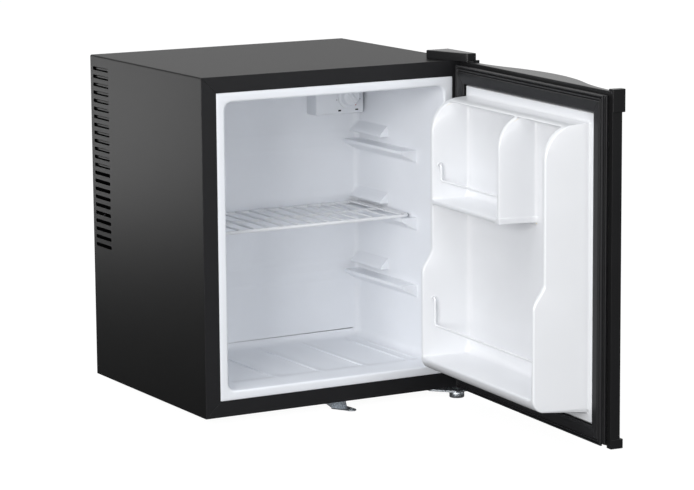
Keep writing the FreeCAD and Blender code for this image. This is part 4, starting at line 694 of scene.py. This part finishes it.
def shelf_wires():
    """A round frame bar bent to a rounded rectangle, a row of thinner wires over it whose ends turn down onto the
    bar, and a brace."""
    x1 = shelf_high[0] - shelf_frame_radius
    y0, y1 = shelf_low[1] + shelf_frame_radius, shelf_high[1] - shelf_frame_radius
    z = shelf_low[2] + shelf_frame_radius
    corners = [(-x1, y0, z), (x1, y0, z), (x1, y1, z), (-x1, y1, z)]
    outline = rounded_path(corners, shelf_corner, 10, closed=True)
    sheets = [tube(outline, shelf_frame_radius, Z_WAY, 18, closed=True)]
    pitch = 2 * (x1 - shelf_wire_side_gap) / (shelf_wire_count - 1)
    wire_z = z + shelf_wire_lift
    end_z = wire_z - shelf_wire_end_drop
    for index in range(shelf_wire_count):
        x = (index - (shelf_wire_count - 1) / 2) * pitch
        corners = [(x, y0 - 0.4, end_z), (x, y0 + 3.0, wire_z), (x, y1 - 3.0, wire_z), (x, y1 + 0.4, end_z)]
        sheets.append(tube(rounded_path(corners, shelf_wire_bend, 5), shelf_wire_radius, X_WAY, 12))
    middle_y = (y0 + y1) / 2
    brace = np.linspace((-x1, middle_y, z), (x1, middle_y, z), 12)
    sheets.append(tube(brace, shelf_brace_radius, Z_WAY, 14))
    return sheets


make_piece("wire_shelf_bars", "shelf", ["wire_shelf"], "coated_wire", shelf_wires(), sharp=60.0)


# ---------------------------------------------------------------- thermostat

box_low, box_high = low_high("thermostat_housing")
dial_middle = np.array(joints["dial_turn"]["pos_m"]) / MM
box_edge = 2.5
box_corner = 3.0
pointer_angle = math.radians(38.0)
print_draw, print_sink, print_rise = 0.12, 0.05, 0.17


def thermostat_box():
    """Rounded rectangles carried forward from the wall, drawn in by a quarter circle at the face and filled."""
    turn = quarter_turn(6)
    inset = np.concatenate([[0.0, 0.0], 0.4 + box_edge * (1 - np.cos(turn)), [6.0, 14.0]])
    face, wall = box_low[1], box_high[1]
    y = np.concatenate([[wall, wall - 3.0], face + box_edge * (1 - np.sin(turn)), [face] * 2])
    (half_x, _, half_z), (middle_x, _, middle_z) = (box_high - box_low) / 2, (box_high + box_low) / 2
    return capped(np.array([
        loop_at((middle_x, middle_z), half_x - step, half_z - step, max(box_corner - 0.5 * step, 0.6), depth)
        for step, depth in zip(inset, y)]))


def dial_form():
    """A profile turned about the dial's axis, with a ridge added over its face: the ridge's height falls by a
    smooth S across and at both ends."""
    profile = np.array([
        (0.2, 12.0), (1.5, 12.0), (3, 12.0), (4.5, 12.0), (6, 12.0), (7.5, 12.0), (9, 12.0), (10.2, 11.98),
        (11.2, 11.9), (12.2, 11.65), (13.1, 11.1), (13.7, 10.2), (13.95, 9.2), (14.3, 6.5), (14.6, 4.2),
        (14.9, 3.4), (15.5, 3.05), (16.6, 3.0), (17.8, 2.95), (18.6, 2.7), (18.95, 2.1), (19.0, 1.3),
        (18.9, 0.6), (18.4, 0.5), (3.2, 0.5), (3.0, 0.3), (3.0, -7.5)])
    turn = full_turn(96)
    radius, height = profile[:, 0][:, None], profile[:, 1][:, None]
    across, up = radius * np.cos(turn), radius * np.sin(turn)
    along = across * math.sin(pointer_angle) - up * math.cos(pointer_angle)
    beside = across * math.cos(pointer_angle) + up * math.sin(pointer_angle)
    ridge = 3.0 * (1 - ease(np.abs(beside), 1.5, 3.6)) * (1 - ease(np.abs(along), 9.5, 13.0)) * (height > 9.0)
    return capped(places(dial_middle[0] + across, dial_middle[1] - height - ridge, dial_middle[2] + up))


def print_mark(x, z, y, half_across, half_up):
    """A thin printed patch: a rounded rectangle, drawn in and raised by a quarter circle."""
    rings = []
    for turn in quarter_turn(4):
        step = print_draw * (1 - math.cos(turn))
        rings.append(loop_at((x, z), half_across - step, half_up - step, min(half_across, half_up) * 0.6,
                             y + print_sink - print_rise * math.sin(turn)))
    return capped(np.array(rings))


make_piece("thermostat_box", "cabinet", ["thermostat_housing"], "white_moulding", [thermostat_box()], sharp=50.0)
make_piece("thermostat_knob", "dial", ["thermostat_dial"], "white_moulding", [dial_form()], sharp=50.0)
marks = [(131.7, 401.8, 2.6, 1.3), (161.3, 401.8, 2.6, 1.1), (127.0, 418.2, 0.6, 0.7), (167.0, 417.4, 0.6, 0.7)]
make_piece("thermostat_marks", "cabinet", [], "black_moulding",
           [print_mark(x, z, box_low[1], *half) for x, z, *half in marks], sharp=60.0)
dot_out, dot_half, dial_rim = 16.6, 1.2, 3.0
dot = (dial_middle[0] + dot_out * math.sin(pointer_angle), dial_middle[2] - dot_out * math.cos(pointer_angle))
make_piece("knob_dot", "dial", [], "white_moulding",
           [print_mark(*dot, dial_middle[1] - dial_rim, dot_half, dot_half)], look="red_print", sharp=60.0)


# ---------------------------------------------------------------- door

door_bottom, door_top = base + 1.5, top - 0.5
trim_height = 9.0
door_plane = front - 14.0
panel_end_thickness = 8.0
panel_bow = 29.0
skin_sheet = 1.0
strip_width = 10.0
liner_border = 12.5
door_sheet = 1.8


def bow(x):
    """How far the door's front stands out across its width: a hollow arc, a full arc and a hollow arc that meet
    smoothly."""
    half = (right - left) / 2 - strip_width
    radius = (half * half + panel_bow * panel_bow) / (4 * panel_bow)
    u = np.minimum(np.abs(x), half)
    full = panel_bow - (radius - np.sqrt(radius * radius - np.minimum(u, half / 2) ** 2))
    hollow = radius - np.sqrt(radius * radius - np.minimum(half - u, half / 2) ** 2)
    return np.where(u < half / 2, full, hollow)


def door_front():
    """The bowed skin: each upright line stands out by the bow at its place."""
    x = np.linspace(left + strip_width, right - strip_width, 90)
    z = np.linspace(door_bottom + trim_height, door_top - trim_height, 24)
    y = door_plane - panel_end_thickness - bow(x)
    points = places(x[:, None], y[:, None], z[None, :])
    return swung(points), grid_faces(len(x), len(z))[:, ::-1]


make_piece("bowed_door_skin", "door", ["door_skin"], "painted_shell", [door_front()], wall=skin_sheet)


# the formed inside of the door, closed: reach is how far its crest stands in from the cabinet's front edge
kerb_height = 9.0
kerb_plane = door_plane + kerb_height
kerb_reach = front - kerb_plane
kerb_left, kerb_right = left + 29.3, right - 33.0
kerb_low, kerb_high = base + 27.6, top - 31.6
upper_reach = 61.0
lower_reach = 77.0
top_reach = 13.0
step_high, step_low = base + 222.0, base + 188.0
crown_round = upper_reach - top_reach
crown_foot = top - 47.0 - crown_round
foot_low, foot_high = base + 40.5, base + 46.5
foot_round = 17.0
pocket_back = 4.0
outer_foot, outer_slope = 173.2, 8.0 / 90.0
outer_clear = 4.2
inner_foot, inner_draft = 154.0, 5.0
inner_end = 162.4
divider_faces = (-44.3, -27.3)
bin_floor = base + 66.0
slab_under, slab_top = base + 284.0, base + 294.0
pocket_top = top - 53.0
foot_fillet = 8.0
crest_fillet = 3.0
outer_fillet = 4.0
corner_round = 8.0


def wall_profile(depth, draft, foot=foot_fillet, crest=crest_fillet, steps=7):
    """A drafted wall's section: distance in from its foot, and share of its height, with an arc at the foot and one
    at the crest."""
    lean = math.atan2(depth, draft)
    turn = np.linspace(0, lean, steps)
    away = np.concatenate([foot * (np.sin(turn) - math.tan(lean / 2)),
                           (draft + crest * (math.tan(lean / 2) - np.sin(turn)))[::-1]])
    height = np.concatenate([foot * (1 - np.cos(turn)), (depth - crest * (1 - np.cos(turn)))[::-1]])
    return away, height / depth


def crest_line():
    """The form's crest from the kerb below to the kerb above, as heights over the kerb at places up the door: a
    small arc, the drafted underside, a quarter round, the lower bin, an S-step back, the upper part, a large
    quarter round and a small arc."""
    low, high = lower_reach + kerb_reach, upper_reach + kerb_reach
    quarter = quarter_turn(12)
    crown = quarter_turn(24)
    share = np.linspace(0, 1, 16)
    small = np.linspace(0, 1.5, 6)
    crown_end = top_reach + kerb_reach
    rise, out = outer_fillet * (1 - np.cos(small)), outer_fillet * (np.sin(small) - 0.93)
    z = [foot_low + out, foot_high + foot_round * (1 - np.cos(quarter)), step_low + (step_high - step_low) * share,
         crown_foot + crown_round * np.sin(crown), crown_foot + crown_round + 0.9 - out[::-1]]
    height = [rise, low - foot_round * (1 - np.sin(quarter)), low + (high - low) * ease(share, 0, 1),
              crown_end + crown_round * np.cos(crown), rise[::-1]]
    return np.concatenate(z), np.concatenate(height)


def side_section(height):
    """An outside wall's section for each crest height: distance in from its foot and height over the kerb, an arc at
    the foot, one drafted plane and an arc at the crest."""
    lean = math.atan(1.0 / outer_slope)
    turn = np.linspace(0, lean, 9)
    half = math.tan(lean / 2)
    whole = np.maximum(height, (outer_fillet + crest_fillet) * 1.05)[None, :]
    foot_away = np.broadcast_to((outer_fillet * (np.sin(turn) - half))[:, None], (len(turn), len(height)))
    foot_up = np.broadcast_to((outer_fillet * (1 - np.cos(turn)))[:, None], foot_away.shape)
    turn = turn[::-1, None]
    crest_away = whole * outer_slope + crest_fillet * (half - np.sin(turn))
    crest_up = whole - crest_fillet * (1 - np.cos(turn))
    return np.concatenate([foot_away, crest_away]), np.concatenate([foot_up, crest_up]) * height / whole


def round_corner(x, z, centre_x, centre_z, way):
    """Turns the squares about a corner's centre into circles: a point moves in along its own line by the ratio of
    its larger part to its distance. Past the wall's foot the move fades out."""
    across, down = np.maximum((x - centre_x) * way, 0), np.maximum(centre_z - z, 0)
    larger, distance = np.maximum(across, down), np.maximum(np.hypot(across, down), 1e-6)
    fade = 1 - ease(larger, corner_round + 1.5, corner_round + 11.0)
    keep = np.where((across > 0) & (down > 0), 1 + fade * (larger / distance - 1), 1.0)
    return [np.where(keep < 1, centre + (place - centre) * keep, place)
            for place, centre in ((x, centre_x), (z, centre_z))]


def door_liner_form():
    """A height over the kerb at each place across and up. The two outside walls are sections whose crest follows the
    crest line; between them walls, divider and bin floors stand up from the pockets' back to the crest, joined by
    one minus the product of what each leaves open. Outside its outline the kerb falls to the door's plane under
    the seal."""
    inner = wall_profile(70.0, inner_draft)
    floor_ = wall_profile(70.0, 1.2, foot=9.0)
    under = wall_profile(60.0, 1.5, foot=6.0, crest=4.0)
    inner_top = wall_profile(34.0, 2.0, foot=9.0, crest=4.0)
    kerb = wall_profile(kerb_height, 0.8, foot=1.2, crest=1.6)
    rise = lambda section, away: np.interp(away, section[0], section[1])
    line_z, line_height = crest_line()
    marks_z = [line_z, kerb_low + kerb[0], kerb_high - kerb[0], bin_floor - floor_[0], slab_under + under[0],
               slab_top - floor_[0], pocket_top + inner_top[0]]
    z = lines_through(np.concatenate(marks_z), door_bottom + trim_height, door_top - trim_height, 8.0)
    height = np.interp(z, line_z, line_height, left=0.0, right=0.0)
    away, up = side_section(height)
    left_x = lines_through(kerb_left + kerb[0], left + liner_border, -outer_foot - outer_clear, 4.0)
    right_x = lines_through(kerb_right - kerb[0], outer_foot + outer_clear, right - liner_border, 4.0)
    marks_x = [inner_foot + inner[0], -inner_foot - inner[0], divider_faces[1] - inner[0],
               divider_faces[0] + inner[0]]
    inner_x = lines_through(np.concatenate(marks_x), -inner_end, inner_end, 8.0)
    flat = lambda line: np.broadcast_to(line[:, None], (len(line), len(z)))
    across = np.concatenate([flat(left_x), away - outer_foot, flat(inner_x), (outer_foot - away)[::-1],
                             flat(right_x)])
    upward = np.broadcast_to(z[None], across.shape)
    hinge_wall, free_wall = rise(inner, across - inner_foot), rise(inner, -inner_foot - across)
    divider = rise(inner, divider_faces[1] - across) * rise(inner, across - divider_faces[0])
    above_slab = rise(under, upward - slab_under)
    slab = above_slab * rise(floor_, slab_top - upward) * rise(inner, across - divider_faces[0])
    low_floor, ceiling = rise(floor_, bin_floor - upward), rise(inner_top, upward - pocket_top)
    open_share = 1 - hinge_wall
    for part in (free_wall, divider * above_slab, slab, low_floor, ceiling):
        open_share = open_share * (1 - part)
    pocket = np.minimum(pocket_back + kerb_reach, height)
    inside = pocket + (1 - open_share) * (height - pocket)
    between = slice(len(left_x) + len(up), len(across) - len(up) - len(right_x))
    lifted = np.concatenate([flat(0 * left_x), up, inside[between], up[::-1], flat(0 * right_x)])
    on_kerb = (rise(kerb, across - kerb_left) * rise(kerb, kerb_right - across)
               * rise(kerb, upward - kerb_low) * rise(kerb, kerb_high - upward))
    corner_x, corner_z = outer_foot - corner_round, foot_low + corner_round
    for way in (-1.0, 1.0):
        across, upward = round_corner(across, upward, way * corner_x, corner_z, way)
    points = places(across, door_plane + kerb_height * on_kerb + lifted, upward)
    return swung(points), grid_faces(*across.shape)


# the door's form is drawn with the darker copy of the white liner, which is painted shade
make_piece("door_liner_form", "door", ["door_liner"], "white_liner", [door_liner_form()], look="door_white_shaded",
           sharp=60.0, wall=door_sheet, even=False)


# ---------------------------------------------------------------- door seal

seal_side, seal_low, seal_high = 6.8, 3.2, 5.6
seal_width = 25.0
seal_free = 21.2
seal_bottom = 22.8
weld_sink = 0.28


def seal_form():
    """The seal's closed section, inset and height, carried round the door's four sides; rings near a corner lie
    along its mitre and sink a little there, where the cut ends are welded."""
    section = np.array([
        (3.6, 0.0), (3.4, 1.0), (3.3, 2.4), (2.2, 3.0), (0.9, 3.2), (0.5, 3.6), (0.4, 4.2), (0.5, 4.8),
        (0.9, 5.2), (2.2, 5.5), (3.3, 6.1), (3.5, 6.8), (3.3, 7.7), (2.0, 8.3), (0.7, 8.6), (0.1, 9.2),
        (0.0, 10.4), (0.05, 11.4), (0.4, 12.1), (1.0, 12.4), (1.9, 12.4), (2.5, 12.0), (2.8, 11.2), (2.9, 9.4),
        (3.6, 9.0), (4.3, 9.4), (4.4, 11.4), (4.7, 12.6), (5.3, 13.0), (6.1, 13.0), (6.7, 12.6), (6.9, 11.4),
        (7.3, 11.0), (7.8, 11.4), (8.0, 12.7), (8.6, 13.3), (9.4, 13.4), (13.0, 13.4), (17.0, 13.4),
        (20.8, 13.4), (22.8, 13.3), (24.2, 12.9), (24.8, 12.0), (25.0, 10.4), (24.7, 9.2), (23.8, 8.6),
        (22.4, 8.3), (21.7, 7.7), (21.5, 6.8), (21.8, 6.0), (23.2, 5.4), (24.4, 4.9), (24.6, 4.2), (24.3, 3.5),
        (23.0, 3.1), (21.8, 2.6), (21.5, 1.2), (21.4, 0.0)])
    near = np.array([0.0, 0.35, 0.8, 1.6])
    sunk = list(weld_sink * (1 - np.minimum(1.0, near / 0.8)))
    x0, x1, z0, z1 = left + seal_side, right - seal_side, base + seal_low, top - seal_high
    inset, up = section.T
    free, low = inset * seal_free / seal_width, inset * seal_bottom / seal_width
    corners = [np.stack([x, z], -1) for x, z in ((x0 + free, z0 + low), (x1 - inset, z0 + low),
                                                 (x1 - inset, z1 - inset), (x0 + free, z1 - inset))]
    rings, groove = [], []
    for start, end in zip(corners, corners[1:] + corners[:1]):
        way = (end - start) / np.linalg.norm(end - start, axis=-1)[:, None]
        rings += [start + way * offset for offset in near]
        rings += [start + (end - start) * share for share in np.linspace(0.02, 0.98, 25)]
        rings += [end - way * offset for offset in near[:0:-1]]
        groove += sunk + [0.0] * 25 + sunk[:0:-1]
    rings = np.array(rings)
    height = up - np.array(groove)[:, None] * (up > 8.0)
    points = places(rings[..., 0], door_plane + height, rings[..., 1])
    return swung(points), grid_faces(*points.shape[:2], close_rows=True, close_columns=True)


make_piece("door_seal", "door", ["door_gasket"], "gasket_rubber", [seal_form()], sharp=50.0)


# ---------------------------------------------------------------- wire retainers

retainer_radius = 1.5
retainer_pin = 4.0
retainer_bend = 3.2
retainer_gap = 4.0
wall_reach = lower_reach + 5.0
upper_pin, lower_pin = 50.0, 60.0


def wall_at(foot, crest, reach):
    """Where a drafted pocket wall stands at a reach."""
    return foot + (crest - foot) * (reach - pocket_back) / (wall_reach - pocket_back)


def retainer(body, node, name, walls, reach, level, drop):
    """Two pins in the walls, two hanging legs and a level bar, as one round bar with rounded bends. Gives back where
    each pin enters its wall."""
    start, end = (wall_at(foot, foot + way * inner_draft, reach) for foot, way in walls)
    y, z = front + reach, base + level
    leg_start, leg_end = start + retainer_gap, end - retainer_gap
    corners = [(start - retainer_pin, y, z), (leg_start, y, z), (leg_start, y, z - drop), (leg_end, y, z - drop),
               (leg_end, y, z), (end + retainer_pin, y, z)]
    points, faces = tube(rounded_path(corners, retainer_bend, 8), retainer_radius, Y_WAY, 16)
    make_piece(name, body, [node], "coated_wire", [(swung(points), faces)], sharp=60.0)
    return [(start, y, z, 1.0), (end, y, z, -1.0)]


def eye_ring(x, y, z, way):
    """A low rounded collar where a pin enters its wall: a half-round section with a short foot in the wall, turned
    about the pin."""
    turn = np.linspace(-math.pi, 0, 8)
    half_round = np.stack([3.3 + 1.25 * np.cos(turn), 0.9 * np.sin(turn + math.pi)], -1)
    profile = np.concatenate([[(2.05, -1.0)], half_round[::-1], [(4.55, -1.0)]])
    points, faces = lathe(profile, np.array([x - 0.3 * way, y, z]), X_WAY * way, Z_WAY, 28)
    return swung(points), faces


free_side, hinge_side, divider_side = (-inner_foot, -1), (inner_foot, 1), (divider_faces[1], -1)
eyes = retainer("upper_retainer", "upper_bin_retainer", "upper_retainer_wire", (divider_side, hinge_side), upper_pin,
                342.0, 22.0)
eyes += retainer("lower_retainer", "lower_bin_retainer", "lower_retainer_wire", (free_side, hinge_side), lower_pin,
                 150.0, 39.0)
# the collars also take the darker copy of the white liner: painted shade
make_piece("retainer_eye_rings", "door", [], "white_liner", [eye_ring(*eye) for eye in eyes], look="door_white_shaded",
           sharp=70.0)


# ---------------------------------------------------------------- carried pieces

for body, width, segments, *nodes in [
        ("cabinet", 1.0, 3, "hinge_cover"), ("door", 1.5, 3, "door_strip_caps"),
        ("door", 0.7, 2, "door_corner_top", "door_corner_bottom"),
        ("door", 0.8, 2, "door_top_trim", "door_bottom_trim"),
        ("door", 0.5, 2, "door_strip_free", "door_strip_hinge"),
        ("cabinet", 0.5, 2, "front_rail_top", "front_rail_bottom", "front_rail_left", "front_rail_right"),
        ("cabinet", 0.4, 2, "bottom_hinge_plate"), ("cabinet", 0.25, 2, "fixing_lug"),
        ("corner_foot", 0.4, 2, "corner_foot"), ("front_foot", 0.6, 2, "front_foot"),
        ("cabinet", 0.6, 2, "rear_feet", "mains_inlet")]:
    for node in nodes:
        soften(node, body, width, segments)

for name, carried in frame["nodes"].items():
    carried.data.materials.clear()
    carried.data.materials.append(FINISHES[node_slot[name]])


# ---------------------------------------------------------------- room

def either(tree, *flags):
    """1 where any of the flags is 1."""
    seen = flags[0]
    for flag in flags[1:]:
        seen = add_node(tree, "Math", {0: seen, 1: flag}, operation="MAXIMUM").outputs[0]
    return seen


def emptied(holder):
    """The node tree of a material or a world, with nothing in it."""
    holder.use_nodes = True
    holder.node_tree.nodes.clear()
    return holder.node_tree


def white_stage(tone, seen, mirrored):
    """A wide pale floor under the feet. The eye sees it almost white, polished surfaces less so, and it still
    takes the shadow."""
    size = 16.0
    mesh = bpy.data.meshes.new("floor")
    mesh.from_pydata([(-size, -size, 0), (size, -size, 0), (size, size, 0), (-size, size, 0)], [], [(0, 1, 2, 3)])
    material = bpy.data.materials.new("pale_floor")
    tree = emptied(material)
    light = add_node(tree, "LightPath").outputs
    shares = [add_node(tree, "Math", {0: light[flag], 1: factor}, operation="MULTIPLY").outputs[0]
              for flag, factor in (("Is Camera Ray", seen), ("Is Glossy Ray", mirrored))]
    glow = add_node(tree, "Emission", {"Color": (1.0, 1.0, 1.0, 1.0), "Strength": either(tree, *shares)})
    diffuse = add_node(tree, "BsdfDiffuse", {"Color": (tone, tone, tone, 1.0)})
    both = add_node(tree, "AddShader", {0: diffuse.outputs[0], 1: glow.outputs[0]})
    add_node(tree, "OutputMaterial", {"Surface": both.outputs[0]})
    mesh.materials.append(material)
    floor = bpy.data.objects.new("floor", mesh)
    bpy.context.scene.collection.objects.link(floor)


def white_world(level, seen_level):
    """Even light from all round at one level, seen by the eye and by polished surfaces at another."""
    world = bpy.data.worlds.new("room")
    bpy.context.scene.world = world
    tree = emptied(world)
    soft = add_node(tree, "Background", {"Color": (0.93, 0.96, 1.0, 1.0), "Strength": level})
    seen = add_node(tree, "Background", {"Color": (1.0, 1.0, 1.0, 1.0), "Strength": seen_level})
    light = add_node(tree, "LightPath").outputs
    flags = either(tree, light["Is Camera Ray"], light["Is Glossy Ray"], light["Is Transmission Ray"])
    mix = add_node(tree, "MixShader", {0: flags, 1: soft.outputs[0], 2: seen.outputs[0]})
    add_node(tree, "OutputWorld", {"Surface": mix.outputs[0]})


def softbox(name, place, target, width, height, power, colour=(1.0, 1.0, 1.0)):
    """A rectangular lamp at a place, turned to face a target."""
    data = bpy.data.lights.new(name, "AREA")
    data.shape = "RECTANGLE"
    data.size, data.size_y = width, height
    data.energy = power
    data.color = colour
    ahead = np.array(target, float) - np.array(place, float)
    ahead /= np.linalg.norm(ahead)
    across = np.cross(ahead, Z_WAY)
    across /= np.linalg.norm(across)
    stand(name, data, place, across, np.cross(across, ahead), ahead)


white_stage(0.14, 0.96, 0.02)
white_world(0.54, 1.0)
softbox("key_softbox", (-3.5, -2.6, 1.0), (0.0, -0.1, 0.25), 2.4, 1.9, 120.0, (1.0, 0.99, 0.98))
softbox("front_softbox", (-0.2, -3.8, 0.45), (0.0, 0.0, 0.27), 1.8, 0.8, 27.0)
softbox("top_softbox", (-0.8, -0.9, 2.8), (0.0, -0.3, 0.3), 1.6, 1.6, 20.0)
softbox("rear_left_softbox", (-0.78, 1.2, 0.3), (-0.215, 0.15, 0.35), 0.5, 0.5, 5.0)
bpy.context.scene.view_settings.view_transform = "Standard"

bpy.context.view_layer.update()
